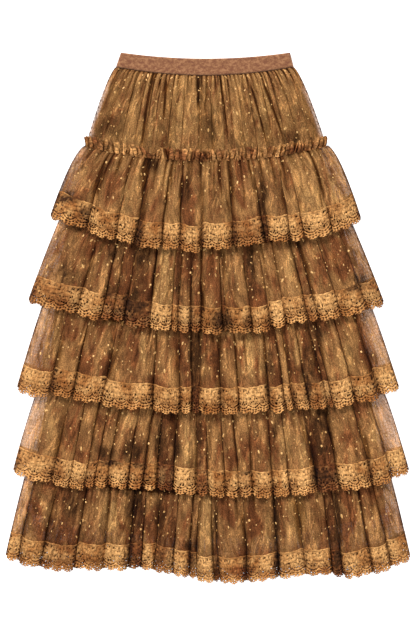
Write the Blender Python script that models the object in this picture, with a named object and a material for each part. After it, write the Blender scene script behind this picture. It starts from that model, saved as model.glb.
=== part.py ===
"""Tiered ruffle skirt of gathered net and lace, laid flat on its back.

The skirt lies on the XY plane with its waist towards +Y, its hem towards -Y and
its front facing +Z. A plain underskirt hangs from an elastic waistband inside a
gathered yoke. Five ruffles follow one another down the skirt, each with a
scalloped lace along its hem: the first is sewn to the yoke's lower edge under a
small gathered heading, and each of the others to the underskirt, up inside the
hem of the ruffle above. Every one of these is cut and sewn on as a front and a
back, so each has a node for both.

All sizes below are in millimetres; the meshes are made in metres.
"""

import math
from collections import namedtuple

import bpy
import numpy as np

MM = 0.001

# Cloth, seams and layers
WALL = 1.2  # a gathered or lace layer
STEEPEST_WALL = 3.0  # the same layer measured upwards, on the side of a fold
SEAM = 0.3  # between two pieces that are sewn together, or that lie on each other
LAYER = WALL + SEAM
BAND_WALL = 3.6  # folded waistband cloth with its elastic

# Heights of the layers over the floor
BACK_Z = 0.0
TUCKED_Z = BACK_Z + LAYER  # the back of a ruffle, up inside the one above
UNDERSKIRT_BACK_Z = TUCKED_Z + LAYER
UNDERSKIRT_FRONT_Z = UNDERSKIRT_BACK_Z + LAYER
FRONT_Z = UNDERSKIRT_FRONT_Z + LAYER
SIDE_Z = BACK_Z + LAYER  # a front's side, where it comes down onto its back

# Ruffles
OVERLAP = 36.0  # how far a ruffle's seam is hidden above the hem over it
LACE_DEPTH = 49.0
SCALLOP_PITCH = 23.5
SCALLOP_DEPTH = 4.0
SIDE_RAMP = 40.0  # over which a front comes down to its back at the side
HEM_LIFT = 8.0  # of a ruffle's hem over its seam, with the next ruffle under it
LAST_BULGE = 5.0  # of the lowest ruffle, which has none under it
FLATTEST_FOLD = 0.1  # share of a fold's rise that it keeps at its seam

# Where down a ruffle, as shares of its length, its height changes and over how much
Change = namedtuple("Change", "start length")
LIFTING = Change(0.10, 0.75)  # up over the next ruffle
SIDE_FALLING = Change(0.15, 0.60)  # of the side, down beside the underskirt
LAST_FALLING = Change(0.55, 0.45)  # of the lowest ruffle, down onto its back

# Columns of points
NARROW_FOLD = 16.0  # below this a fold has a plain middle and no shoulders
BACK_STEP = 4  # half scallops of a back's lace to each column of its net
TUCK = OVERLAP + 18.0  # of a back's top, past the lowest scallops of the ruffle above
TUCK_RAMP = 14.0  # over which it then comes down onto the floor

# An edge that sags in the middle: its ends, and its height there and midway
Arc = namedtuple("Arc", "left right end_y mid_y")

WAIST_TOP = Arc(left=-156.6, right=147.6, end_y=477.5, mid_y=466.5)
WAIST_SEAM = Arc(left=-165.6, right=154.0, end_y=451.5, mid_y=436.0)
YOKE_SEAM = Arc(left=-220.0, right=212.5, end_y=310.5, mid_y=285.0)

# A ruffle's seam from side to side, its hem, and how soon it flares (1 is evenly)
Tier = namedtuple("Tier", "seam_left seam_right hem flare hem_z")

TIERS = (
    Tier(-221.0, 215.5, Arc(-285.5, 276.5, 177.5, 122.5), 0.68, FRONT_Z + HEM_LIFT),
    Tier(-249.0, 236.5, Arc(-325.0, 318.0, 26.5, -27.0), 0.87, FRONT_Z + HEM_LIFT),
    Tier(-281.0, 274.0, Arc(-345.0, 345.0, -127.0, -171.0), 0.84, FRONT_Z + HEM_LIFT),
    Tier(-287.0, 294.0, Arc(-352.0, 363.0, -277.0, -320.5), 0.74, FRONT_Z + HEM_LIFT),
    Tier(-315.0, 314.0, Arc(-365.5, 365.0, -431.0, -473.0), 0.84, SIDE_Z),
)

# A fold along a hem, from the left: its width there, where in it the crest is,
# how high that stands over the valleys beside it, and how far its hem hangs down
Fold = namedtuple("Fold", "width crest rise drop")

TIER_FOLDS = (
    (
        Fold(66, 0.45, 9, -5),
        Fold(52, 0.60, 10, 0),
        Fold(36, 0.40, 8, 0),
        Fold(46, 0.70, 11, 3),
        Fold(34, 0.35, 9, 1),
        Fold(39, 0.55, 12, 3),
        Fold(57, 0.40, 10, -2),
        Fold(53, 0.75, 12, -4),
        Fold(11, 0.50, 1, -6),
        Fold(37, 0.30, 12, -3),
        Fold(26, 0.50, 8, 1),
        Fold(47, 0.60, 10, 5),
        Fold(55, 0.50, 8, 4),
    ),
    (
        Fold(85, 0.55, 8, -5),
        Fold(45, 0.70, 10, -5),
        Fold(23, 0.40, 8, -9),
        Fold(22, 0.60, 7, -10),
        Fold(45, 0.40, 11, -4),
        Fold(37, 0.60, 9, -3),
        Fold(13, 0.50, 5, -2),
        Fold(23, 0.35, 9, -2),
        Fold(18, 0.60, 8, -2),
        Fold(38, 0.60, 12, 0),
        Fold(9, 0.50, 1, -3),
        Fold(45, 0.70, 12, 1),
        Fold(34, 0.35, 10, 3),
        Fold(26, 0.60, 9, -3),
        Fold(41, 0.45, 11, -6),
        Fold(19, 0.50, 7, -3),
        Fold(41, 0.60, 10, 0),
        Fold(46, 0.40, 9, 2),
        Fold(31, 0.50, 7, 2),
    ),
    (
        Fold(59, 0.50, 8, 4),
        Fold(40, 0.65, 10, -6),
        Fold(56, 0.40, 9, -5),
        Fold(86, 0.75, 12, -2),
        Fold(52, 0.45, 10, 0),
        Fold(20, 0.65, 11, -1),
        Fold(17, 0.50, 1, -2),
        Fold(37, 0.30, 12, 0),
        Fold(32, 0.60, 10, 0),
        Fold(59, 0.50, 11, 0),
        Fold(27, 0.40, 9, 3),
        Fold(14, 0.50, 7, 2),
        Fold(27, 0.70, 12, 2),
        Fold(32, 0.30, 10, 5),
        Fold(11, 0.50, 6, 6),
        Fold(40, 0.60, 9, 8),
        Fold(43, 0.40, 8, 8),
        Fold(36, 0.50, 7, 1),
    ),
    (
        Fold(70, 0.45, 8, 3),
        Fold(32, 0.60, 9, 4),
        Fold(29, 0.40, 8, 4),
        Fold(18, 0.60, 7, -1),
        Fold(22, 0.40, 9, -5),
        Fold(36, 0.60, 11, -8),
        Fold(27, 0.40, 9, -9),
        Fold(25, 0.60, 10, -10),
        Fold(29, 0.35, 10, -11),
        Fold(43, 0.55, 12, -6),
        Fold(20, 0.40, 9, -3),
        Fold(31, 0.60, 11, -1),
        Fold(26, 0.40, 9, 0),
        Fold(23, 0.60, 10, 1),
        Fold(37, 0.45, 11, 3),
        Fold(31, 0.60, 9, 3),
        Fold(50, 0.40, 11, 4),
        Fold(38, 0.65, 10, 4),
        Fold(58, 0.45, 11, 8),
        Fold(34, 0.60, 9, 8),
        Fold(34, 0.50, 7, 1),
    ),
    (
        Fold(24, 0.50, 6, 0),
        Fold(37, 0.60, 9, 4),
        Fold(63, 0.45, 10, 2),
        Fold(52, 0.60, 11, -8),
        Fold(44, 0.35, 10, -13),
        Fold(24, 0.70, 11, -19),
        Fold(24, 0.30, 9, -19),
        Fold(34, 0.60, 10, -15),
        Fold(29, 0.40, 11, -10),
        Fold(12, 0.50, 7, -6),
        Fold(29, 0.60, 12, 0),
        Fold(12, 0.50, 1, 0),
        Fold(50, 0.40, 12, 2),
        Fold(57, 0.60, 11, 0),
        Fold(50, 0.40, 10, -2),
        Fold(47, 0.65, 11, 0),
        Fold(20, 0.40, 8, 7),
        Fold(50, 0.50, 11, 13),
        Fold(33, 0.60, 9, 13),
        Fold(36, 0.50, 7, 5),
    ),
)

# The yoke's gathers, by their width on its lower edge
YOKE_FOLDS = (
    Fold(31, 0.5, 3, 0),
    Fold(29, 0.4, 4, 0),
    Fold(23, 0.6, 4, 0),
    Fold(18, 0.5, 5, 0),
    Fold(16, 0.6, 6, 0),
    Fold(27, 0.3, 5, 0),
    Fold(25, 0.6, 5, 0),
    Fold(32, 0.7, 4, 0),
    Fold(25, 0.4, 5, 0),
    Fold(23, 0.6, 4, 0),
    Fold(18, 0.5, 4, 0),
    Fold(18, 0.4, 5, 0),
    Fold(23, 0.6, 4, 0),
    Fold(29, 0.4, 5, 0),
    Fold(23, 0.6, 5, 0),
    Fold(22, 0.4, 4, 0),
    Fold(22, 0.6, 4, 0),
    Fold(23, 0.5, 3, 0),
)
YOKE_FLARE = 0.75
YOKE_BACK_COLUMNS = 15
YOKE_PRESSED = 0.86  # how far down the heading begins, which presses the yoke flat
YOKE_RINGS = (0.0, 0.3, YOKE_PRESSED, 1.0)
YOKE_SWELL = 4.0  # of the yoke between its waist seam and the heading
YOKE_FLATTEST = 0.25  # share of a gather's rise that it keeps at the yoke's edges
YOKE_BACK_RAMP = 0.08  # share of the yoke's length over which its back lifts

# The heading that stands up from the first ruffle's seam
HEADING_HEIGHT = 18.0
HEADING_PLEATS = 47
HEADING_Z = FRONT_Z + 3.4
HEADING_WAVE = 3.4
HEADING_FLARE = 1.2  # how far the top of a pleat stands up past the valleys
HEADING_SWAY = 0.12  # of a pleat's edge to the side, as a share of its width
HEADING_NOTCH_X = -100.0  # where it is pressed down by a fold of the yoke
HEADING_NOTCH_WIDTH = 9.0
HEADING_NOTCH_DEPTH = 0.75
HEADING_BACK_MARGIN = 3.0
HEADING_BACK_COLUMNS = 25

# Across the heading, from its top edge down: height, and how far its pleats open
HeadingRow = namedtuple("HeadingRow", "up opened")
HEADING_ROWS = (HeadingRow(1.0, 1.0), HeadingRow(0.55, 0.6), HeadingRow(0.0, 0.35))

# The underskirt, whose sides run inside the ends of the seams that it carries
UNDERSKIRT_WAIST_INSET = 2.6
UNDERSKIRT_YOKE_INSET = 15.0
UNDERSKIRT_INSET = 7.0
UNDERSKIRT_HEM = Arc(left=-318.0, right=320.0, end_y=-350.0, mid_y=-397.0)
UNDERSKIRT_COLUMNS = 9

# The waistband's cross-section: height over its lower edge and thickness, as shares
BandRow = namedtuple("BandRow", "up thick")
BAND_ROWS = (
    BandRow(1.00, 0.70),
    BandRow(0.88, 0.96),
    BandRow(0.50, 1.00),
    BandRow(0.12, 0.96),
    BandRow(0.00, 0.70),
)
BAND_COLUMNS = 13

# A cloth's linear colour, and how rough and how metallic it looks
Finish = namedtuple("Finish", "colour roughness metallic")

NET_BROWN = Finish((0.150, 0.072, 0.025), 0.75, 0.0)
LACE_TAN = Finish((0.380, 0.205, 0.075), 0.80, 0.0)
BAND_SUEDE = Finish((0.235, 0.110, 0.048), 0.90, 0.0)
LINING_BROWN = Finish((0.095, 0.046, 0.018), 0.70, 0.0)


def ease(share):
    """0 to 1, level at both ends."""
    share = min(max(share, 0.0), 1.0)
    return share * share * (3.0 - 2.0 * share)


def changed(change, down):
    return ease((down - change.start) / change.length)


def arc_y(arc, x):
    half = (arc.right - arc.left) / 2.0
    off = (x - (arc.left + arc.right) / 2.0) / half
    return arc.mid_y + (arc.end_y - arc.mid_y) * off * off


def fold_height(share, crest):
    """A fold's height, 0 in the valleys beside it and 1 on its crest."""
    if share <= 0.0 or share >= 1.0:
        return 0.0
    lean = math.log(0.5) / math.log(crest)
    return math.sin(math.pi * share**lean) ** 0.6


def scallops_of(fold):
    return max(1, round((fold.width + 0.8 * fold.rise) / SCALLOP_PITCH))


def fold_stations(fold):
    """Shares of a fold's width where it has a column of points."""
    if fold.width < NARROW_FOLD:
        return [0.0, 0.5]
    plain = {
        1: [0.0, 0.12, 0.5, 0.88],
        2: [0.0, 0.12, 0.25, 0.5, 0.75, 0.88],
        3: [0.0, 0.14, 1 / 3, 0.5, 2 / 3, 0.86],
    }
    count = scallops_of(fold)
    return plain.get(count, [step / (2 * count) for step in range(2 * count)])


# A column of points down a front: its place along the hem, its fold, its share of
# that fold's width, and how far the hem hangs down there
Column = namedtuple("Column", "x fold share drop")


def columns_of(folds, arc):
    """The columns of every fold along this arc, which the folds fill from end to end."""
    columns = []
    edge = arc.left
    scale = (arc.right - arc.left) / sum(fold.width for fold in folds)
    last_drop = 0.0
    for fold in folds:
        for share in fold_stations(fold):
            between = (last_drop + fold.drop) / 2.0
            drop = fold.drop if share > 0.0 else between
            columns.append(Column(edge + share * fold.width * scale, fold, share, drop))
        last_drop = fold.drop
        edge += fold.width * scale
    columns.append(Column(arc.right, folds[-1], 1.0, 0.0))
    return columns


def column_height(column, rise_share):
    height = fold_height(column.share, column.fold.crest)
    return column.fold.rise * height * rise_share


def scallop_y(column):
    """How far the lace is cut up from its lowest points."""
    if column.fold.width < NARROW_FOLD:
        return 0.5 * SCALLOP_DEPTH
    wave = abs(math.sin(math.pi * column.share * scallops_of(column.fold)))
    return SCALLOP_DEPTH * (1.0 - wave)


def spread(left, right, other_left, other_right, x):
    """The place between other_left and other_right that x has from left to right."""
    return other_left + (x - left) / (right - left) * (other_right - other_left)


def seam_arc(index):
    """A ruffle's seam: the hem above it, moved up by the overlap."""
    tier = TIERS[index]
    if index == 0:
        return YOKE_SEAM._replace(left=tier.seam_left, right=tier.seam_right)
    above = TIERS[index - 1].hem
    return Arc(tier.seam_left, tier.seam_right, above.end_y + OVERLAP, above.mid_y + OVERLAP)


def tier_line(index, x, drop):
    """The seam point and the hem point of a ruffle's thread that meets the hem at x."""
    tier = TIERS[index]
    seam = seam_arc(index)
    seam_x = spread(tier.hem.left, tier.hem.right, seam.left, seam.right, x)
    seam_y = arc_y(seam, seam_x) - SEAM
    return seam_x, seam_y, x, arc_y(tier.hem, x) - drop


def tier_point(index, x, drop, down):
    """A ruffle's point at this share of the way down from its seam to its hem."""
    seam_x, seam_y, hem_x, hem_y = tier_line(index, x, drop)
    flared = down ** TIERS[index].flare
    return seam_x + (hem_x - seam_x) * flared, seam_y + (hem_y - seam_y) * down


def lace_share(index, x, drop):
    """The share of the way down where the net ends and the lace begins."""
    _, seam_y, _, hem_y = tier_line(index, x, drop)
    return 1.0 - LACE_DEPTH / (seam_y - hem_y)


def valley_z(index, down):
    """The height of a front's valleys, from the seam down to the hem."""
    tier = TIERS[index]
    if tier.hem_z > FRONT_Z:
        return FRONT_Z + (tier.hem_z - FRONT_Z) * changed(LIFTING, down)
    bulge = LAST_BULGE * math.sin(math.pi * down)
    return FRONT_Z + bulge + (tier.hem_z - FRONT_Z) * changed(LAST_FALLING, down)


def side_z(down):
    """The height of a front's side edge, which comes down beside the underskirt."""
    return FRONT_Z + (SIDE_Z - FRONT_Z) * changed(SIDE_FALLING, down)


def front_z(index, column, down):
    """The underside of a ruffle's front."""
    x, _ = tier_point(index, column.x, 0.0, down)
    left, _ = tier_point(index, TIERS[index].hem.left, 0.0, down)
    right, _ = tier_point(index, TIERS[index].hem.right, 0.0, down)
    inward = min(x - left, right - x, SIDE_RAMP) / SIDE_RAMP
    side = side_z(down)
    floor = side + (valley_z(index, down) - side) * math.sin(math.pi / 2 * inward)
    grown = FLATTEST_FOLD + (1.0 - FLATTEST_FOLD) * ease(down)
    return floor + column_height(column, grown)


def wall_over(under):
    """The outer points of a wall on these inner ones, as thick across every slope."""
    steps = np.diff(under, axis=1)
    slopes = np.abs(steps[..., 2]) / np.hypot(steps[..., 0], steps[..., 1])
    steepest = np.zeros(under.shape[:2])
    steepest[:, :-1] = slopes
    steepest[:, 1:] = np.maximum(steepest[:, 1:], slopes)
    thick = np.minimum(WALL * np.sqrt(1.0 + steepest**2), STEEPEST_WALL)
    over = under.copy()
    over[..., 2] += thick
    return over


def closed_faces(rows, columns):
    """Triangles that close an under grid and an over grid of points into one body."""
    count = rows * columns

    def at(row, column):
        return row * columns + column

    faces = []
    for row in range(rows - 1):
        for column in range(columns - 1):
            a, b = at(row, column), at(row + 1, column)
            c, d = at(row + 1, column + 1), at(row, column + 1)
            faces += [(a, c, b), (a, d, c)]
            faces += [(count + a, count + b, count + c), (count + a, count + c, count + d)]
    rim = [at(0, column) for column in range(columns - 1)]
    rim += [at(row, columns - 1) for row in range(rows - 1)]
    rim += [at(rows - 1, column) for column in range(columns - 1, 0, -1)]
    rim += [at(row, 0) for row in range(rows - 1, 0, -1)]
    for here, after in zip(rim, rim[1:] + rim[:1]):
        faces += [(here, count + here, count + after), (here, count + after, after)]
    return faces


def make_material(name, finish):
    material = bpy.data.materials.new(name)
    material.use_nodes = True
    shader = material.node_tree.nodes["Principled BSDF"]
    shader.inputs["Base Color"].default_value = (*finish.colour, 1.0)
    shader.inputs["Roughness"].default_value = finish.roughness
    shader.inputs["Metallic"].default_value = finish.metallic
    return material


def add_solid(name, under, over, finish):
    """One closed object between two grids, rows down the skirt by columns across it."""
    rows, columns = under.shape[:2]
    points = np.concatenate([under.reshape(-1, 3), over.reshape(-1, 3)]) * MM
    mesh = bpy.data.meshes.new(name)
    mesh.from_pydata(points.tolist(), [], closed_faces(rows, columns))
    mesh.materials.append(make_material(name, finish))
    mesh.shade_smooth()
    mesh.set_sharp_from_angle(angle=math.radians(40))
    solid = bpy.data.objects.new(name, mesh)
    bpy.context.scene.collection.objects.link(solid)
    return solid


def add_wall(name, under, finish):
    under = np.array(under, dtype=float)
    return add_solid(name, under, wall_over(under), finish)


def ruffle_front(index, finish):
    """Net folds from the seam down to the lace."""
    columns = columns_of(TIER_FOLDS[index], TIERS[index].hem)
    rings = []
    for part in (0.0, 0.5, 1.0):
        ring = []
        for column in columns:
            down = part * lace_share(index, column.x, column.drop)
            x, y = tier_point(index, column.x, column.drop, down)
            ring.append((x, y, front_z(index, column, down)))
        rings.append(ring)
    return add_wall(f"ruffle_{index + 1}_front", rings, finish)


def lace_front(index, finish):
    """The lace carries the folds on from the net to the scalloped hem."""
    columns = columns_of(TIER_FOLDS[index], TIERS[index].hem)
    top = []
    hem = []
    for column in columns:
        down = lace_share(index, column.x, column.drop)
        x, y = tier_point(index, column.x, column.drop, down)
        top.append((x, y - SEAM, front_z(index, column, down)))
        x, y = tier_point(index, column.x, column.drop, 1.0)
        hem.append((x, y + scallop_y(column), front_z(index, column, 1.0)))
    return add_wall(f"lace_{index + 1}_front", [top, hem], finish)


def back_drop(index, x):
    """The hang of the back's hem, which runs smoothly through the front folds' drops."""
    folds = TIER_FOLDS[index]
    edges = TIERS[index].hem.left + np.cumsum([0.0] + [fold.width for fold in folds])
    middles = (edges[:-1] + edges[1:]) / 2.0
    places = [edges[0], *middles, edges[-1]]
    drops = [0.0, *[fold.drop for fold in folds], 0.0]
    return float(np.interp(x, places, drops))


def back_places(index):
    """Places along a back's hem: its scallops' ends and middles, and the net's columns."""
    hem = TIERS[index].hem
    scallops = sum(scallops_of(fold) for fold in TIER_FOLDS[index])
    lace_places = np.linspace(hem.left, hem.right, 2 * scallops + 1)
    return lace_places, np.append(lace_places[:-1:BACK_STEP], hem.right)


def ruffle_back(index, finish):
    """Flat net on the floor, whose top is tucked up inside the ruffle above."""
    rings = [[], [], [], []] if index else [[], []]
    for x in back_places(index)[1]:
        drop = back_drop(index, x)
        places = [(0.0, BACK_Z)]
        if index:
            _, seam_y, _, hem_y = tier_line(index, x, drop)
            tucked = TUCK / (seam_y - hem_y)
            clear = (TUCK + TUCK_RAMP) / (seam_y - hem_y)
            places = [(0.0, TUCKED_Z), (tucked, TUCKED_Z), (clear, BACK_Z)]
        places.append((lace_share(index, x, drop), BACK_Z))
        for ring, (down, z) in zip(rings, places):
            ring.append((*tier_point(index, x, drop, down), z))
    return add_wall(f"ruffle_{index + 1}_back", rings, finish)


def lace_back(index, finish):
    """The back's lace, with as many scallops as the front's."""
    lace_places, net_places = back_places(index)
    net_edge = []
    for x in net_places:
        drop = back_drop(index, x)
        net_edge.append(tier_point(index, x, drop, lace_share(index, x, drop)))
    top_x = np.interp(lace_places, net_places, [point[0] for point in net_edge])
    top_y = np.interp(lace_places, net_places, [point[1] for point in net_edge]) - SEAM
    top = [(x, y, BACK_Z) for x, y in zip(top_x, top_y)]
    hem = []
    for step, place in enumerate(lace_places):
        x, y = tier_point(index, place, back_drop(index, place), 1.0)
        cut = 0.0 if step % 2 else SCALLOP_DEPTH
        hem.append((x, y + cut, BACK_Z))
    return add_wall(f"lace_{index + 1}_back", [top, hem], finish)


def yoke_point(x, down):
    """A yoke point on the thread that meets its lower edge at x."""
    top_x = spread(YOKE_SEAM.left, YOKE_SEAM.right, WAIST_SEAM.left, WAIST_SEAM.right, x)
    top_y = arc_y(WAIST_SEAM, top_x) - SEAM
    flared = down**YOKE_FLARE
    return top_x + (x - top_x) * flared, top_y + (arc_y(YOKE_SEAM, x) - top_y) * down


def yoke_front(finish):
    columns = columns_of(YOKE_FOLDS, YOKE_SEAM)
    rings = []
    for down in YOKE_RINGS:
        swell = math.sin(math.pi * min(down / YOKE_PRESSED, 1.0))
        rise_share = YOKE_FLATTEST + (1.0 - YOKE_FLATTEST) * swell
        ring = []
        for column in columns:
            x, y = yoke_point(column.x, down)
            inward = min(column.x - YOKE_SEAM.left, YOKE_SEAM.right - column.x, SIDE_RAMP)
            lift = YOKE_SWELL * swell * math.sin(math.pi / 2 * inward / SIDE_RAMP)
            ring.append((x, y, FRONT_Z + lift + column_height(column, rise_share)))
        rings.append(ring)
    return add_wall("yoke_front", rings, finish)


def yoke_back(finish):
    """Flat on the floor, and lifted at its lower edge by the heading under it."""
    length = WAIST_SEAM.mid_y - YOKE_SEAM.mid_y
    lifted = 1.0 - (HEADING_HEIGHT + HEADING_BACK_MARGIN) / length
    flat = lifted - YOKE_BACK_RAMP
    places = [(0.0, BACK_Z), (flat, BACK_Z), (lifted, TUCKED_Z), (1.0, TUCKED_Z)]
    rings = []
    for down, z in places:
        spaced = np.linspace(YOKE_SEAM.left, YOKE_SEAM.right, YOKE_BACK_COLUMNS)
        rings.append([(*yoke_point(x, down), z) for x in spaced])
    return add_wall("yoke_back", rings, finish)


def heading_point(x, up):
    """A heading point, this share of the way up from the first ruffle's seam."""
    notch = math.exp(-(((x - HEADING_NOTCH_X) / HEADING_NOTCH_WIDTH) ** 2))
    height = HEADING_HEIGHT * (1.0 - HEADING_NOTCH_DEPTH * notch)
    return x, arc_y(YOKE_SEAM, x) + SEAM + height * up


def heading_front(finish):
    """A narrow gathered frill: even pleats, each a little deeper or wider than the next."""
    pitch = (YOKE_SEAM.right - YOKE_SEAM.left) / HEADING_PLEATS
    last = 2 * HEADING_PLEATS
    rings = []
    for row in HEADING_ROWS:
        ring = []
        for step in range(last + 1):
            sway = HEADING_SWAY * pitch * math.sin(2.4 * step) if 0 < step < last else 0.0
            x, y = heading_point(YOKE_SEAM.left + step * pitch / 2.0 + sway, row.up)
            depth = HEADING_WAVE * (0.8 + 0.2 * math.sin(1.7 * step))
            open_here = row.opened if step % 2 else 0.0
            ring.append((x, y + HEADING_FLARE * open_here, HEADING_Z + depth * open_here))
        rings.append(ring)
    return add_wall("heading_front", rings, finish)


def heading_back(finish):
    rings = []
    for up in (1.0, 0.0):
        spaced = np.linspace(YOKE_SEAM.left, YOKE_SEAM.right, HEADING_BACK_COLUMNS)
        rings.append([(*heading_point(x, up), BACK_Z) for x in spaced])
    return add_wall("heading_back", rings, finish)


def underskirt(name, z, finish):
    """A plain flared panel inside the ruffles, from the waist seam to its own hem."""
    seams = [(WAIST_SEAM, UNDERSKIRT_WAIST_INSET), (YOKE_SEAM, UNDERSKIRT_YOKE_INSET)]
    seams += [(seam_arc(index), UNDERSKIRT_INSET) for index in range(1, len(TIERS))]
    seams.append((UNDERSKIRT_HEM, 0.0))
    rings = []
    for seam, inset in seams:
        spaced = np.linspace(seam.left + inset, seam.right - inset, UNDERSKIRT_COLUMNS)
        rings.append([(x, arc_y(seam, x) - SEAM, z) for x in spaced])
    return add_wall(name, rings, finish)


def waistband(name, z, faces_up, finish):
    """Half of the band: flat where the halves meet, and rounded over its edges."""
    flat = []
    round_side = []
    for row in BAND_ROWS:
        flat_row = []
        round_row = []
        for step in range(BAND_COLUMNS):
            low_x = spread(0, BAND_COLUMNS - 1, WAIST_SEAM.left, WAIST_SEAM.right, step)
            high_x = spread(0, BAND_COLUMNS - 1, WAIST_TOP.left, WAIST_TOP.right, step)
            low_y = arc_y(WAIST_SEAM, low_x)
            high_y = arc_y(WAIST_TOP, high_x)
            x = low_x + (high_x - low_x) * row.up
            y = low_y + (high_y - low_y) * row.up
            inner = z if faces_up else z + BAND_WALL
            outer = z + BAND_WALL * row.thick if faces_up else z
            flat_row.append((x, y, inner))
            round_row.append((x, y, outer))
        flat.append(flat_row)
        round_side.append(round_row)
    under, over = (flat, round_side) if faces_up else (round_side, flat)
    return add_solid(name, np.array(under), np.array(over), finish)


def clear_scene():
    for existing in list(bpy.data.objects):
        bpy.data.objects.remove(existing, do_unlink=True)


def main():
    clear_scene()
    waistband("waistband_back", BACK_Z, False, BAND_SUEDE)
    waistband("waistband_front", BACK_Z + BAND_WALL + SEAM, True, BAND_SUEDE)
    underskirt("underskirt_back", UNDERSKIRT_BACK_Z, LINING_BROWN)
    underskirt("underskirt_front", UNDERSKIRT_FRONT_Z, LINING_BROWN)
    yoke_back(NET_BROWN)
    yoke_front(NET_BROWN)
    heading_back(NET_BROWN)
    heading_front(NET_BROWN)
    for index in range(len(TIERS)):
        ruffle_back(index, NET_BROWN)
        ruffle_front(index, NET_BROWN)
        lace_back(index, LACE_TAN)
        lace_front(index, LACE_TAN)


main()
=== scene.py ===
"""Looks of a tiered ruffle skirt of tie-dyed net and guipure lace, laid flat.

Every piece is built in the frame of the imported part, over the solid that it
replaces: waist towards +Y, hem towards -Y, front facing +Z. Lengths below are in
millimetres unless a property says otherwise; meshes are made in metres.
"""

import math
from collections import namedtuple
from functools import partial

import bpy
import numpy as np
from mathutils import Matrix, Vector


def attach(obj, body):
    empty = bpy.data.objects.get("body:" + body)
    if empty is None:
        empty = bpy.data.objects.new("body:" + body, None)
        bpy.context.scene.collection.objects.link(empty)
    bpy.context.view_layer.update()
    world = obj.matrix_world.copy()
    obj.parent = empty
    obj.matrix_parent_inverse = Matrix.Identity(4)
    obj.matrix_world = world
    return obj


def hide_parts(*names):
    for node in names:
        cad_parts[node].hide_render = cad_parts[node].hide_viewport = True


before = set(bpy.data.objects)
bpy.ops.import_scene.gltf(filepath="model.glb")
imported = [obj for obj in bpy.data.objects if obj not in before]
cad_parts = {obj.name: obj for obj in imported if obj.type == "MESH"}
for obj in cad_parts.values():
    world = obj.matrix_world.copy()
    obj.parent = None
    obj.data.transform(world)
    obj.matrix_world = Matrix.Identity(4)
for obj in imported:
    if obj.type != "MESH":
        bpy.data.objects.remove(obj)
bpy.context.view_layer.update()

bl_info = {
    "name": "Tiered Ruffle Skirt",
    "version": (1, 0, 0),
    "blender": (4, 5, 0),
    "location": "View3D > Sidebar > Skirt",
    "description": "Builds a tiered skirt of gathered net with scalloped lace hems",
    "category": "Object",
}

MM = 0.001
BODY = "root"

# Heights and walls of the solids that the cloth lies in
SEAM = 0.3
TUCKED_Z = 1.5
UNDERSKIRT_Z = {"back": 3.0, "front": 4.5}
FRONT_Z = 6.0
SIDE_Z = 1.5
BAND_WALL = 3.6
OVERLAP = 36.0
LACE_DEPTH = 49.0
SCALLOP_PITCH = 23.5
SCALLOP_DEPTH = 4.6
SIDE_RAMP = 40.0
HEM_LIFT = 8.0
LAST_BULGE = 5.0
FLATTEST_FOLD = 0.1
TUCK = OVERLAP + 18.0
TUCK_RAMP = 14.0
IN_WALL = 0.5  # of a thin cloth over the underside of its solid
BACK_UNDERSIDE = 1.12  # of a back's flat parts, over the floor that it lies on
LOWEST = 0.02  # of any piece over the paper

# Fineness of the cloth, along it and down it; the backs, which lie hidden, are coarser
NET_COLUMN = {"front": 1.7, "back": 1.9 * 1.7}
NET_ROW = 4.2
LACE_COLUMNS = {"front": 22, "back": 13}  # to a scallop
LACE_ROW = {"front": 1.1, "back": 1.5 * 1.1}
YOKE_COLUMN = {"front": 1.45, "back": 2.4}
YOKE_ROWS = 56
HEADING_ROWS = 12
HEADING_COLUMNS = 16  # to a pleat
HEADING_BACK_GRID = (8, 520)
UNDERSKIRT_GRID = 61

LACE_OVER_NET = 0.9
NET_UNDER_LACE = 2.6
LACE_RELIEF = 1.5
LACE_SPARE = 1.6  # of its grid past its deepest scallops
CUT_NEAREST = 0.08  # share of a grid's step between a cut edge and the grid's points
LACE_LIFT = {"front": 1.0, "back": -0.1}  # share of the lace's thickness, up or down
NET_APART = 1300.0  # along the hem, from one ruffle's pattern of cells to the next one's
BACK_PRESSED = 0.08  # share of a fold's rise that is left in a back, under its own weight
HEM_BOW = 3.5  # how much lower a fold's hem hangs under its crest than at its sides
HEM_TILT = 5.0  # the most that a fold's hem is lower at one side than at the other
HEM_STEP = 0.5  # from one of the close places that a hem is known at to the next
EDGE_REACH = 0.36  # share of a fold's width that one of its edges takes up at most
RUFFLE_STRAYS = {"front": 120, "back": 60}  # small creases strewn over a ruffle
YOKE_STRAYS = 40

# The waistband
BAND_LOW_Z = {"back": 0.0, "front": BAND_WALL + SEAM}
BAND_ROWS = 19
BAND_COLUMNS = 91
BAND_ROUNDED = (0.16, 0.012)  # shares of its height and its length, at each edge

# The yoke
YOKE_FLARE = 0.75
YOKE_PRESSED = 0.86
YOKE_BACK_PRESSED = 0.12
YOKE_SWELL = 4.0
YOKE_FLATTEST = 0.25
YOKE_UNDOTTED = 20.0  # above its lower edge, where the heading lies over it

# The heading
HEADING_HEIGHT = 18.0
HEADING_PLEATS = 58
HEADING_Z = FRONT_Z + 3.4
HEADING_WAVE = 3.0
HEADING_NOTCH_X = -100.0
HEADING_NOTCH_WIDTH = 9.0
HEADING_NOTCH_DEPTH = 0.75
HEADING_LOOP = 4.2  # width of the crumpled loops painted on its net in light and shade

# How much less each ruffle's net covers beside its side edges, and how far in from them
SHEER = (0.15, 0.17, 0.22, 0.31, 0.14)
SHEER_WIDTHS = (20.0, 22.0, 40.0, 56.0, 34.0)

# How much lighter (above 0) or darker each part's dye is as a whole
YOKE_LIGHTER = 0.55
HEADING_LIGHTER = 0.18
RUFFLES_LIGHTER = (0.30, -0.04, -0.21, -0.08, -0.24)
LACE_LIGHTER = (-0.03, -0.05, 0.02, -0.15, -0.02)

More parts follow.
